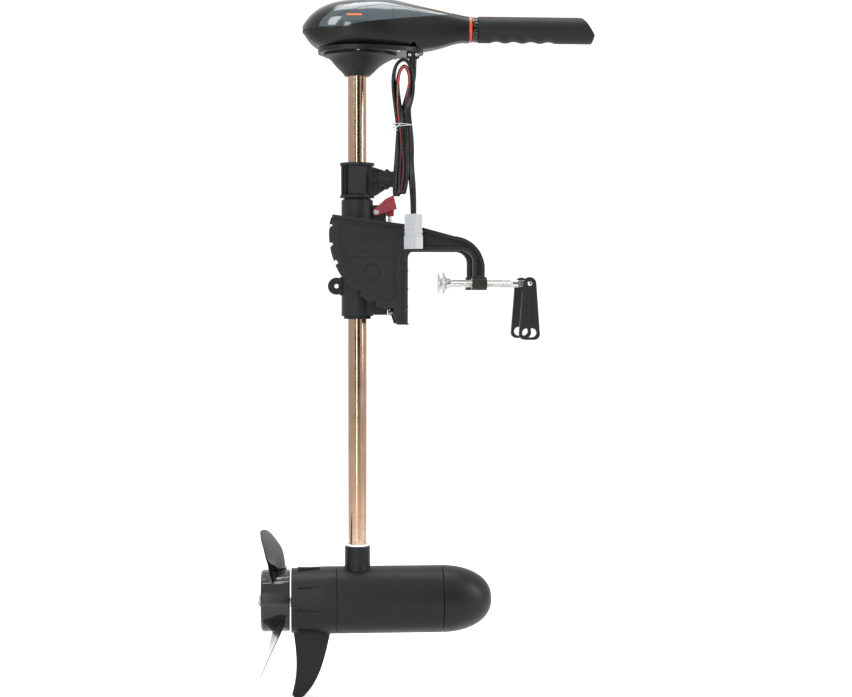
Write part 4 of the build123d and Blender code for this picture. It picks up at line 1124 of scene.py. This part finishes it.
@dataclass
class Head:
    """The control head: glossy cover with its display, housing, bell and neck."""

    lift: float = 0.35
    orange_bar: Tuple[float, float] = (-92.0, -70.0)

    def __post_init__(self) -> None:
        """Prepare the cover's surface for pieces that lie on it."""
        mesh = frame["nodes"]["top_cover"].data
        points = [vertex.co.copy() for vertex in mesh.vertices]
        self.surface = BVHTree.FromPolygons(points, [tuple(p.vertices) for p in mesh.polygons])

    def on_cover(self, x: float, z: float, side: int, lift: float) -> Vector:
        """The point of the cover at x and z on one side, lifted off it, in millimetres."""
        start = Vector((x * MM, side * 0.2, z * MM))
        hit, normal, _, _ = self.surface.ray_cast(start, Vector((0, -side, 0)))
        if hit is None:
            hit, normal, _, _ = self.surface.find_nearest(Vector((x * MM, side * 0.05, z * MM)))
        if normal.y * side < 0:
            normal = -normal
        return (hit + normal * lift * MM) / MM

    @staticmethod
    def seam(x: float) -> float:
        """Height of the line where the cover meets the housing."""
        knots = ((-170, 387.5), (-104.8, 383.6), (-64.6, 391.4), (50.2, 407.7), (84, 419))
        for (x0, z0), (x1, z1) in zip(knots, knots[1:]):
            if x <= x1:
                return z0 + (z1 - z0) * (x - x0) / (x1 - x0)
        return knots[-1][1]

    @staticmethod
    def brow(x: float) -> float:
        """Height of the display's upper edge."""
        knots = (
            (-134, 389), (-128, 398.5), (-117, 408), (-94, 419.5), (-63, 428.5), (-38, 431.5),
            (-9, 427), (18, 420.3), (46, 414), (58, 412.6)
        )
        if x <= knots[0][0]:
            return knots[0][1]
        for (x0, z0), (x1, z1) in zip(knots, knots[1:]):
            if x <= x1:
                t = (x - x0) / (x1 - x0)
                return z0 + (z1 - z0) * t
        return knots[-1][1]

    def patch(
        self, name: str, side: int, left: float, right: float, low: Callable[[float], float],
        high: Callable[[float], float], label: str, lift: float, steps: Tuple[int, int]
    ) -> bpy.types.Object:
        """A thin plate that lies on the cover between two heights.

        Args:
            name: the piece's name.
            side: -1 for the near side and 1 for the far side.
            left: its first x.
            right: its last x.
            low: lower edge's height at x.
            high: upper edge's height at x.
            label: its finish.
            lift: how far it stands off the cover.
            steps: faces along and across.

        Returns:
            The plate.
        """
        rows, columns = steps[1] + 1, steps[0] + 1
        outer: List[Vector] = []
        inner: List[Vector] = []
        for column in range(columns):
            x = left + (right - left) * column / (columns - 1)
            for row in range(rows):
                z = low(x) + (high(x) - low(x)) * row / (rows - 1)
                top = self.on_cover(x, z, side, lift)
                foot = self.on_cover(x, z, side, -0.4)
                outer.append(top)
                inner.append(foot)
        faces: List[Tuple[int, ...]] = []
        total = len(outer)
        for column in range(columns - 1):
            for row in range(rows - 1):
                a = column * rows + row
                faces.append((a, a + 1, a + rows + 1, a + rows))
                faces.append((total + a, total + a + rows, total + a + rows + 1, total + a + 1))
        rim = [column * rows for column in range(columns)]
        rim += [(columns - 1) * rows + row for row in range(1, rows)]
        rim += [column * rows + rows - 1 for column in range(columns - 2, -1, -1)]
        rim += [row for row in range(rows - 2, 0, -1)]
        for a, b in zip(rim, rim[1:] + rim[:1]):
            faces.append((a, b, total + b, total + a))
        return mesh_piece(name, outer + inner, faces, [label], 50)

    def display(self, side: int) -> None:
        """The slate display with its lines and one plain orange bar."""
        tag = "near" if side < 0 else "far"
        plate = self.patch(
            f"display_{tag}", side, -133, 57, lambda x: self.seam(x) + 1.6,
            lambda x: max(self.brow(x), self.seam(x) + 2.2), "display_slate", self.lift, (90, 16)
        )
        pieces: List[bpy.types.Object] = []
        over = self.lift + 0.12

        def inner_line(x: float) -> float:
            """Height of the arc inside the display."""
            return self.seam(x) + (self.brow(x) - self.seam(x)) * (
                0.72 if x > -70 else 0.72 - 0.14 * min(1.0, (-70 - x) / 55)
            )

        arc = self.patch(
            "arc", side, -125, 32, lambda x: inner_line(x) - 0.35, lambda x: inner_line(x) + 0.35,
            "display_line", over, (70, 1)
        )
        pieces.append(arc)
        for x in (-99.5, -62.0, -22.0, 17.5):
            pieces.append(
                self.patch(
                    "line", side, x - 0.3, x + 0.3, lambda v: self.seam(v) + 2.6, inner_line,
                    "display_line", over, (1, 12)
                )
            )
        settle(plate, "mast", "display_slate")
        settle(joined(f"display_lines_{tag}", pieces), "mast", "display_line")
        start, end = self.orange_bar
        bar = self.patch(
            f"display_bar_{tag}", side, start, end, lambda v: 402.6, lambda v: 404.8, "mark_orange",
            over, (8, 1)
        )
        settle(bar, "mast", "mark_orange")

    def side_screw(self, side: int) -> None:
        """The oval recess in the neck with its screw."""
        tag = "near" if side < 0 else "far"
        reach = 21.5
        spot = Spot((69.5, side * (reach - 3.0), 388.2), (0, side, 0), (1, 0, 0))
        rim = [(5.0 * math.cos(a), 7.2 * math.sin(a)) for a in (2 * math.pi * k / 40 for k in range(40))]
        hole = [(3.9 * math.cos(a), 6.0 * math.sin(a)) for a in (2 * math.pi * k / 40 for k in range(40))]
        count = len(rim)
        points = [spot.at(0, s, t) for s, t in rim] + [spot.at(3.4, s, t) for s, t in rim]
        points += [spot.at(3.4, s, t) for s, t in hole] + [spot.at(0.8, s, t) for s, t in hole]
        faces: List[Tuple[int, ...]] = []
        for ring in range(3):
            faces += band(ring * count, (ring + 1) * count, count)
        faces.append(tuple(range(3 * count, 4 * count)))
        faces.append(tuple(range(count)))
        cup = mesh_piece(f"neck_recess_{tag}", points, faces, ["housing_black"])
        soften(cup, 0.35)
        settle(cup, "mast", "housing_black")
        head = Spot((69.5, side * (reach - 2.2), 388.2), (0, side, 0), (1, 0, 0))
        settle(screw_head(f"neck_screw_{tag}", head, 3.1, 1.6), "mast", "steel_plain")

    def ring(self) -> None:
        """The red neck ring with short notches."""
        spot = Spot((96.5, 0, TILLER_Z), (1, 0, 0), (0, 1, 0))
        profile = rounded([(0, 20.2), (4.2, 20.2), (4.2, 12.5), (0, 12.5)], 0.5)

        def notch(along: float, radius: float, angle: float) -> float:
            """Cut shallow marks across the ring."""
            return radius - 0.5 if radius > 19 and along > 1.2 and math.cos(angle * 12) > 0.9 else radius

        settle(lathe("ring", spot, profile, "ring_red", 144, 30, notch), "mast", "ring_red", "neck_ring")

    def build(self) -> None:
        """Make the head."""
        refined("top_cover", "cover_black", "cover", 0.5, 2, 40)
        refined("accent_strip", "strip_copper", "strip", 0.3, 2, 40)
        refined("lower_housing", "housing_black", "housing", 0.8, 2, 40)
        refined("head_base", "housing_black", "bell", 1.0, 3, 40)
        refined("cord_gland", "housing_black", "gland", 0.9, 3)
        for side in (-1, 1):
            self.display(side)
            self.side_screw(side)
        self.ring()
        refined("housing_screws", "steel_plain", "base_screws", 0.25)
        for x in (3.5, 14.5):
            spot = Spot((x, -36.6, 347), (0, -1, 0), (1, 0, 0))
            settle(screw_head(f"gland_screw_{int(x)}", spot, 2.4, 1.4), "mast", "steel_plain")


def screw_head(name: str, spot: Spot, radius: float, height: float, cross: bool = True) -> bpy.types.Object:
    """A domed screw head with a real cross recess.

    Args:
        name: the piece's name.
        spot: the middle of its seat, pointing outwards.
        radius: head radius in millimetres.
        height: head height.
        cross: two slots, or only one.

    Returns:
        The screw head.
    """
    around = 48
    points = []
    faces: List[Tuple[int, ...]] = []
    fractions = (1.0, 0.96, 0.88, 0.72, 0.6, 0.48, 0.36, 0.24, 0.12)
    for share in fractions:
        for k in range(around):
            angle = 2 * math.pi * k / around
            x, y = share * math.cos(angle), share * math.sin(angle)
            dome = height * math.sqrt(
                max(0.0, 1 - (share * 0.94) ** 2)
            ) * 0.8 + height * 0.2 * (share < 0.99)
            slot = min(abs(x), abs(y)) if cross else abs(x)
            deep = slot < 0.1 and share < 0.7
            points.append(spot.at(dome - (0.45 * height if deep else 0.0), x * radius, y * radius))
    base = [
        spot.at(
            -0.3, radius * math.cos(2 * math.pi * k / around),
            radius * math.sin(2 * math.pi * k / around)
        ) for k in range(around)
    ]
    points = base + points
    levels = len(fractions) + 1
    for level in range(levels - 1):
        faces += band(level * around, (level + 1) * around, around)
    faces.append(tuple(range(around)))
    faces.append(tuple((levels - 1) * around + k for k in range(around)))
    return mesh_piece(name, points, faces, ["steel_plain"], 35)


@dataclass
class Bracket:
    """Clamp sides, transom plate and tilt bolt."""

    panel_face: float = 48.5

    def marks(self, side: int) -> None:
        """Raised plain bars in the side panel."""
        tag = "near" if side < 0 else "far"
        pieces = []
        for row, (start, count) in enumerate(((-93.0, 5), (-93.0, 9))):
            for k in range(count):
                x = start + k * 8.2
                z = 56.5 - row * 11
                spot = Spot((x, side * self.panel_face, z), (0, side, 0), (1, 0, 0))
                lean = 1.6
                pieces.append(
                    prism(
                        "bar", spot,
                        [
                            (-2.6, -side * -2.4), (2.2, -side * -2.4), (2.2 + lean, side * -2.4),
                            (-2.6 + lean, side * -2.4)
                        ],
                        0.55, "casting_black", 0.2
                    )
                )
        settle(joined(f"panel_bars_{tag}", pieces), "clamp", "casting_black")

    def build(self) -> None:
        """Make the bracket."""
        for tag in ("near", "far"):
            refined(f"clamp_side_{tag}", "casting_black", f"bracket_{tag}", 1.0, 3, 34)
        refined("transom_plate", "casting_black", "leg_plate", 0.7, 3)
        refined("plate_screws", "steel_plain", "leg_screws", 0.25)
        refined("thread_inserts", "brass", "inserts", 0.3)
        refined("tilt_bolt", "steel_plain", "pivot_bolt", 0.5, 3)
        for side in (-1, 1):
            self.marks(side)


@dataclass
class Swivel:
    """Steering sleeve with its bushes, lock rod, spring and release lever."""

    def ribs(self) -> None:
        """The tow eye's hubs on both sides of the casting."""
        pieces = []
        for sign in (-1, 1):
            spot = Spot((-107, sign * 5.0, -4), (0, sign, 0), (1, 0, 0))
            hub = ring_outline(6.8, 40)
            hole = ring_outline(3.4, 40)
            points = [spot.at(h, s, t) for h in (0, 1.6) for s, t in hub] + [
                spot.at(h, s, t) for h in (1.6, 0) for s, t in hole
            ]
            faces = []
            for ring in range(4):
                for k in range(40):
                    following = (k + 1) % 40
                    after = (ring + 1) % 4
                    faces.append(
                        (ring * 40 + k, ring * 40 + following, after * 40 + following, after * 40 + k)
                    )
            hubs = mesh_piece("eye_hub", points, faces, ["casting_black"])
            soften(hubs, 0.4)
            pieces.append(hubs)
        settle(joined("tow_eye_hubs", pieces), "swivel", "casting_black")

    def serrations(self) -> bpy.types.Object:
        """Grip ridges along the lever's thumb pad."""
        droop = math.radians(8)
        pieces = []
        start, end = Vector((10, 21)), Vector((22.5, 29.5))
        run = end - start
        out = Vector((-run.y, run.x)).normalized()
        for k in range(7):
            middle = start + run * (0.08 + 0.14 * k)
            top = middle + out * 0.9
            x, z = middle.x, middle.y
            place = (
                -46 + x * math.cos(droop) + z * math.sin(droop), -11.5,
                109.5 - x * math.sin(droop) + z * math.cos(droop)
            )
            along = run.normalized()
            side = (
                along.x * math.cos(droop) + along.y * math.sin(droop), 0,
                -along.x * math.sin(droop) + along.y * math.cos(droop)
            )
            spot = Spot(place, (0, 1, 0), side)
            height = (top - middle).length
            pieces.append(
                prism(
                    "tooth", spot, [(-0.62, -0.4), (0.62, -0.4), (0.3, height), (-0.3, height)], 23,
                    "lever_red", 0.12
                )
            )
        teeth = joined("thumb_ridges", pieces)
        return settle(teeth, "lever", "lever_red")

    def build(self) -> None:
        """Make the swivel group."""
        refined("swivel_casting", "casting_black", "swivel_body", 1.2, 3, 34)
        refined("steering_bushes", "bush_black", "bushes", 0.7, 3)
        refined("lever_pin", "steel_plain", "lever_axle", 0.5, 3)
        refined("release_lever", "lever_red", "lever_body", 0.6, 3)
        refined("lock_rod", "steel_plain", "lock_bar", 0.4, 3)
        refined("lock_cap", "cap_red", "rod_cap", 0.7, 3)
        self.ribs()
        self.serrations()


@dataclass
class Collar:
    """Depth collar, its thrust washer, bolt and lobed knob."""

    def ribs(self) -> None:
        """Upright ribs round the back of the collar."""
        low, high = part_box("depth_collar")
        pieces = []
        for k in range(9):
            angle = math.radians(100 + 20 * k)
            radial = (math.cos(angle), math.sin(angle), 0)
            centre = (SHAFT_X + 21.2 * radial[0], 21.2 * radial[1], low.z / MM + 3.6)
            spot = Spot(centre, (0, 0, 1), radial)
            pieces.append(
                prism(
                    "rib", spot, [(0, -1.1), (3.6, -0.8), (3.6, 0.8), (0, 1.1)],
                    (high.z - low.z) / MM - 7.2, "casting_black", 0.3
                )
            )
        settle(joined("collar_ribs", pieces), "collar", "casting_black")

    def knob_cap(self) -> None:
        """A raised disc with a ring groove in the middle of the knob."""
        low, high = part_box("depth_knob")
        spot = Spot(
            ((low.x + high.x) / 2 / MM, low.y / MM + 0.2, (low.z + high.z) / 2 / MM), (0, -1, 0),
            (1, 0, 0)
        )
        profile = [
            (-0.4, 0), (-0.4, 7.6), (0.5, 7.2), (0.8, 6.4), (0.3, 6.0), (0.3, 5.2), (0.9, 4.6), (1.0, 0)
        ]
        settle(lathe("knob_disc", spot, profile, "casting_black", 64), "knob", "casting_black")

    def build(self) -> None:
        """Make the collar group."""
        refined("depth_collar", "casting_black", "collar_body", 0.9, 3, 34)
        refined("thrust_washer", "bush_black", "washer", 0.3)
        refined("collar_bolt", "steel_plain", "ear_bolt", 0.5, 3)
        refined("depth_knob", "casting_black", "knob_body", 1.3, 4, 34)
        self.ribs()
        self.knob_cap()


@dataclass
class Tiller:
    """Extending tiller with its ribbed collar, twist grip and drive rod."""

    grip_start: float = 110.7
    grip_end: float = 290.7
    radius: float = 20.2
    hollow_depth: float = 2.3
    hollow_pitch: float = 27.0

    def hollow(self, x: float, down: float) -> float:
        """How deep the finger hollows cut at a place along and round the grip."""
        middle = self.grip_start + 70
        depth = 0.0
        for k in (-1.5, -0.5, 0.5, 1.5):
            away = (x - middle - k * self.hollow_pitch) / 10.5
            depth = max(depth, self.hollow_depth * max(0.0, 1 - away * away) ** 1.2)
        return depth * max(0.0, down) ** 1.6

    def end_at(self, height: float) -> float:
        """Where the slanted end of the grip lies at a height from the axis."""
        knots = (
            (-23, self.grip_end - 3), (-9, self.grip_end), (12, self.grip_end - 12),
            (22.5, self.grip_end - 19)
        )
        for (z0, x0), (z1, x1) in zip(knots, knots[1:]):
            if height <= z1:
                t = max(0.0, (height - z0) / (z1 - z0))
                return x0 + (x1 - x0) * t
        return knots[-1][1]

    def grip(self) -> None:
        """The rubber sleeve with finger hollows and a slanted end."""
        around, rows = 160, 300
        points: List[Vector] = []
        faces: List[Tuple[int, ...]] = []
        length = self.grip_end - self.grip_start
        for row in range(rows + 1):
            share = row / rows
            for k in range(around):
                angle = 2 * math.pi * k / around
                down = -math.sin(angle)
                reach = self.radius
                x = self.grip_start + share * length
                edge = min(share * length, 1.5)
                reach -= 1.5 - math.sqrt(max(0.0, 2.25 - (1.5 - edge) ** 2))
                reach -= self.hollow(x, down)
                z = reach * math.sin(angle)
                limit = self.end_at(z)
                tip = max(0.0, x - (limit - 3.5)) / 3.5
                if x > limit:
                    x = limit
                reach -= 1.2 * min(1.0, tip) ** 3
                points.append(Vector((x, reach * math.cos(angle), TILLER_Z + reach * math.sin(angle))))
        for row in range(rows):
            faces += band(row * around, (row + 1) * around, around)
        last = rows * around
        rings = 6
        for ring in range(1, rings):
            for k in range(around):
                outer = points[last + k]
                share = 1 - ring / rings
                z = (outer.z - TILLER_Z) * share
                inward = 0.9 * math.sin(math.pi * min(1.0, ring / rings * 1.4) / 2)
                points.append(Vector((self.end_at(z) - inward, outer.y * share, TILLER_Z + z)))
            base = len(points) - around
            before = last if ring == 1 else base - around
            faces += band(before, base, around)
        base = len(points) - around
        faces.append(tuple(base + k for k in range(around)))
        inner = len(points)
        for k in range(around):
            angle = 2 * math.pi * k / around
            points.append(
                Vector((self.grip_start, 12.2 * math.cos(angle), TILLER_Z + 12.2 * math.sin(angle)))
            )
        deep = len(points)
        for k in range(around):
            angle = 2 * math.pi * k / around
            points.append(
                Vector((self.grip_start + 30, 12.2 * math.cos(angle), TILLER_Z + 12.2 * math.sin(angle)))
            )
        faces += band(0, inner, around) + band(inner, deep, around)
        faces.append(tuple(deep + k for k in range(around)))
        settle(
            mesh_piece("grip_sleeve", points, faces, ["grip_rubber"], 40), "grip", "grip_rubber",
            "tiller_grip"
        )

    def stripe(self) -> None:
        """A thin orange line along the grip's top."""
        pieces = []
        points: List[Vector] = []
        faces: List[Tuple[int, ...]] = []
        steps = 60
        for k in range(steps + 1):
            x = self.grip_start + 4 + (self.grip_end - 26 - self.grip_start) * k / steps
            for y, lift in ((-2.2, -0.5), (-2.2, 0.25), (2.2, 0.25), (2.2, -0.5)):
                points.append(Vector((x, y, TILLER_Z + math.sqrt(self.radius**2 - y * y) + lift)))
        for k in range(steps):
            faces += band(k * 4, (k + 1) * 4, 4)
        faces += [(0, 1, 2, 3), (steps * 4, steps * 4 + 1, steps * 4 + 2, steps * 4 + 3)]
        pieces.append(mesh_piece("stripe", points, faces, ["mark_orange"]))
        settle(joined("grip_line", pieces), "grip", "mark_orange")

    def collar(self) -> None:
        """The glossy collar with short axial ribs."""
        spot = Spot((101.1, 0, TILLER_Z), (1, 0, 0), (0, 1, 0))
        profile = [
            (0, 12.1), (0, 18.4), (0.6, 19.2), (2.0, 19.2), (2.2, 18.2), (3.0, 18.2), (3.2, 19.2),
            (4.6, 19.2), (6.2, 19.2), (8.4, 19.2), (9.2, 18.6), (9.2, 12.1)
        ]

        def knurl(along: float, radius: float, angle: float) -> float:
            """Raise ribs over the front part."""
            if radius > 18.9 and along > 4:
                return radius - 0.9 * (0.5 - 0.5 * math.cos(angle * 18)) ** 3
            return radius

        settle(
            lathe("tiller_ring", spot, profile, "hub_gloss", 216, 30, knurl), "tiller", "hub_gloss",
            "tiller_collar"
        )

    def build(self) -> None:
        """Make the tiller group."""
        refined("tiller_tube", "bush_black", "tiller_inner", 0.5, 2)
        self.grip()
        self.stripe()
        self.collar()


@dataclass
class ClampScrew:
    """One clamp screw with rolled thread, its swivel pad and its folding handle."""

    side: int
    thread_radius: float = 6.0
    pitch: float = 1.75
    start: float = 64.9
    end: float = 168.0
    marks: Tuple[float, ...] = field(default=(-26.0, -32.5, -39.0, -45.5))

    @property
    def tag(self) -> str:
        """Near or far, for names."""
        return "near" if self.side < 0 else "far"

    def thread(self) -> None:
        """The threaded shank, its tip, flat tongue and handle pin."""
        y = self.side * SCREW_Y
        around = 36
        per_turn = 6
        rows = int((self.end - self.start) / self.pitch * per_turn)
        points: List[Vector] = []
        faces: List[Tuple[int, ...]] = []
        for row in range(rows + 1):
            along = (self.end - self.start) * row / rows
            fade = min(1.0, along / 3.0, max(0.0, (self.end - self.start - along - 8) / 5.0))
            for k in range(around):
                turn = k / around
                phase = (along / self.pitch - turn) % 1.0
                crest = abs(phase * 2 - 1)
                depth = 0.62 * min(1.0, crest * 1.35) * fade
                reach = self.thread_radius - 0.03 - depth
                points.append(
                    Vector(
                        (
                            self.start + along, y + reach * math.cos(2 * math.pi * turn),
                            reach * math.sin(2 * math.pi * turn)
                        )
                    )
                )
        for row in range(rows):
            faces += band(row * around, (row + 1) * around, around)
        faces.append(tuple(range(around)))
        faces.append(tuple(rows * around + k for k in range(around)))
        shank = mesh_piece("shank", points, faces, ["steel"], 60)
        tip = lathe(
            "tip", Spot((58.4, y, 0), (1, 0, 0), (0, 1, 0)),
            [(0, 0), (0, 3.6), (0.4, 4.0), (7.0, 4.0), (7.0, 0)], "steel", 48
        )
        tongue_spot = Spot((0, y - 2.5, 0), (0, 1, 0), (1, 0, 0))
        outline = [(166.5, 5.0), (166.5, -5.0)]
        outline += [
            (TOGGLE_X + 5.0 * math.cos(a), 5.0 * math.sin(a)) for a in (
                math.radians(-90 + 180 * k / 14) for k in range(15)
            )
        ]
        tongue = prism("tongue", tongue_spot, outline, 5.0, "steel_plain", 0.5)
        pin = lathe(
            "pin", Spot((TOGGLE_X, y, 0), (0, 1, 0), (1, 0, 0)),
            rounded([(-5.3, 0), (-5.3, 2.5), (5.3, 2.5), (5.3, 0)], 0.5), "steel_plain", 48
        )
        heads = [
            lathe(
                "head", Spot((TOGGLE_X, y + s * 4.9, 0), (0, s, 0), (1, 0, 0)),
                [(-0.2, 0), (-0.2, 3.6), (0.35, 3.4), (0.8, 2.5), (0.95, 0)], "steel_plain", 48
            ) for s in (-1, 1)
        ]
        whole = joined(f"screw_{self.tag}", [shank, tip, tongue, pin] + heads)
        settle(whole, f"{self.tag}_screw", "steel", f"clamp_screw_{self.tag}")

    def pad(self) -> None:
        """The thin conical pad."""
        y = self.side * SCREW_Y
        profile = rounded(
            [
                (0, 0), (0, 17.0), (1.4, 17.0), (3.0, 11.5), (5.6, 8.2), (11.0, 7.6), (11.0, 4.2),
                (4.5, 4.2), (4.5, 0)
            ],
            0.5
        )
        spot = Spot((53.5, y, 0), (1, 0, 0), (0, 1, 0))

        def rings(along: float, radius: float, angle: float) -> float:
            """Leave the pad's outline plain apart from eight small teeth on its rim."""
            return radius - (0.35 if radius > 16.5 and math.cos(angle * 8) > 0.97 else 0.0)

        settle(
            lathe(f"pad_{self.tag}", spot, profile, "steel", 96, 30, rings), f"{self.tag}_pad", "steel",
            f"clamp_pad_{self.tag}"
        )

    def handle(self) -> None:
        """The folding handle with plain raised bars in its recess."""
        refined(f"toggle_{self.tag}", "casting_black", f"handle_{self.tag}", 1.1, 3, 34)
        y = self.side * SCREW_Y
        bars = []
        for height in self.marks:
            spot = Spot((185.9, y - 3.9, height), (0, -1, 0), (1, 0, 0))
            bars.append(
                prism(
                    "mark", spot, [(-3.6, -1.7), (3.6, -1.7), (3.6, 1.7), (-3.6, 1.7)], 0.55,
                    "casting_black", 0.2
                )
            )
        settle(joined(f"handle_marks_{self.tag}", bars), f"{self.tag}_handle", "casting_black")

    def build(self) -> None:
        """Make the screw set."""
        self.thread()
        self.pad()
        self.handle()


@dataclass
class Pod:
    """Motor housing, nose, rear cap with skeg, and the collar on the shaft."""

    radius: float = 52.0
    rear: float = -108.0
    front: float = 56.4

    def housing(self) -> None:
        """The long middle tube with its grooved ends."""
        r = self.radius
        length = self.front - self.rear
        profile = [(0.25, r - 3), (0.25, r - 0.9), (0.9, r - 0.1)]
        profile += [(length * k / 16, r) for k in range(1, 16)]
        profile += [(length - 0.9, r - 0.1), (length - 0.25, r - 0.9), (length - 0.25, r - 3)]
        spot = Spot((self.rear, 0, POD_Z), (1, 0, 0), (0, 1, 0))
        settle(lathe("pod_tube", spot, profile, "pod_black", 160), "mast", "pod_black", "motor_housing")

    def nose(self) -> None:
        """The round nose."""
        knots = [(0.25, 49.0), (0.25, 51.2), (1.0, 51.9)]
        count = 40
        reach = 77.4
        for k in range(1, count + 1):
            t = k / count
            x = 1.0 + (reach - 1.0) * math.sin(t * math.pi / 2)
            radius = 51.9 * max(0.0, math.cos(t * math.pi / 2)) ** 0.86
            knots.append((x, radius if k < count else 0.0))
        knots += [(reach - 5, 0.0), (reach - 20, 30.0), (20.0, 46.5)]
        spot = Spot((self.front, 0, POD_Z), (1, 0, 0), (0, 1, 0))
        settle(lathe("pod_nose", spot, knots, "pod_black", 160), "mast", "pod_black", "nose_cone")

    def marks(self) -> None:
        """Two rows of plain raised bars on each side."""
        for side in (-1, 1):
            tag = "near" if side < 0 else "far"
            pieces = []
            for row, (count, size) in enumerate(((5, 5.6), (9, 5.6))):
                for k in range(count):
                    x = -34.0 + k * 8.6
                    lift = 6.2 if row == 0 else -8.2
                    pieces.append(self.bar(x, size, lift, 8.4 if row == 0 else 7.2, side))
            settle(joined(f"pod_bars_{tag}", pieces), "mast", "pod_black")

    def bar(self, x: float, width: float, low: float, height: float, side: int) -> bpy.types.Object:
        """One bar that follows the round side of the pod."""
        rows = 7
        points: List[Vector] = []
        for lift in (0.45, -0.4):
            for column in range(2):
                for row in range(rows):
                    z = low + height * row / (rows - 1)
                    lean = 0.22 * (z - low)
                    out = math.sqrt(self.radius**2 - z * z) / self.radius
                    reach = self.radius + lift
                    points.append(
                        Vector(
                            (x + column * width + lean, side * reach * out, POD_Z + z * reach / self.radius)
                        )
                    )
        total = 2 * rows
        faces: List[Tuple[int, ...]] = []
        for row in range(rows - 1):
            faces.append((row, row + 1, rows + row + 1, rows + row))
            faces.append((total + row, total + rows + row, total + rows + row + 1, total + row + 1))
        rim = list(range(rows)) + list(range(2 * rows - 1, rows - 1, -1))
        for a, b in zip(rim, rim[1:] + rim[:1]):
            faces.append((a, b, total + b, total + a))
        return mesh_piece("bar", points, faces, ["pod_black"])

    def build(self) -> None:
        """Make the pod."""
        self.housing()
        self.nose()
        refined("motor_collar", "pod_black", "pod_neck", 0.9, 3, 30)
        refined("rear_cap", "pod_black", "pod_cap", 0.8, 3, 34)
        refined("through_bolts", "steel_plain", "cap_screws", 0.2)
        self.marks()


@dataclass
class Propeller:
    """Three-bladed propeller with its hub and nut."""

    def build(self) -> None:
        """Make the propeller."""
        refined("propeller", "hub_gloss", "prop_body", 0.5, 2, 40)
        refined("prop_nut", "steel_plain", "hub_nut", 0.5, 3)


def dress_frame() -> None:
    """Give every node of the frame its finish, shown or not."""
    slots = {row["node"]: row["material_slot"] for row in frame["record"]["subparts"]}
    for node, thing in frame["nodes"].items():
        thing.data.materials.clear()
        thing.data.materials.append(finish(slots[node]))
        thing.data.polygons.foreach_set("material_index", [0] * len(thing.data.polygons))


def plain(box: Iterable[object]) -> List[object]:
    """A box as plain lists of numbers."""
    return [[float(v) for v in corner] if hasattr(corner, "__len__") else float(corner) for corner in box]


def main() -> None:
    """Build the studio and every sub-assembly in order."""
    logging.basicConfig(level=logging.INFO)
    dress_frame()
    Studio().build()
    Lead().build()
    for group in (
        Mast(), Head(), Bracket(), Swivel(), Collar(), Tiller(), ClampScrew(-1), ClampScrew(1), Pod(),
        Propeller()
    ):
        LOG.info("building %s", type(group).__name__)
        group.build()
    {"cad": plain(CAD_BOX), "visual": plain(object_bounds())}


if __name__ == "__main__":
    main()
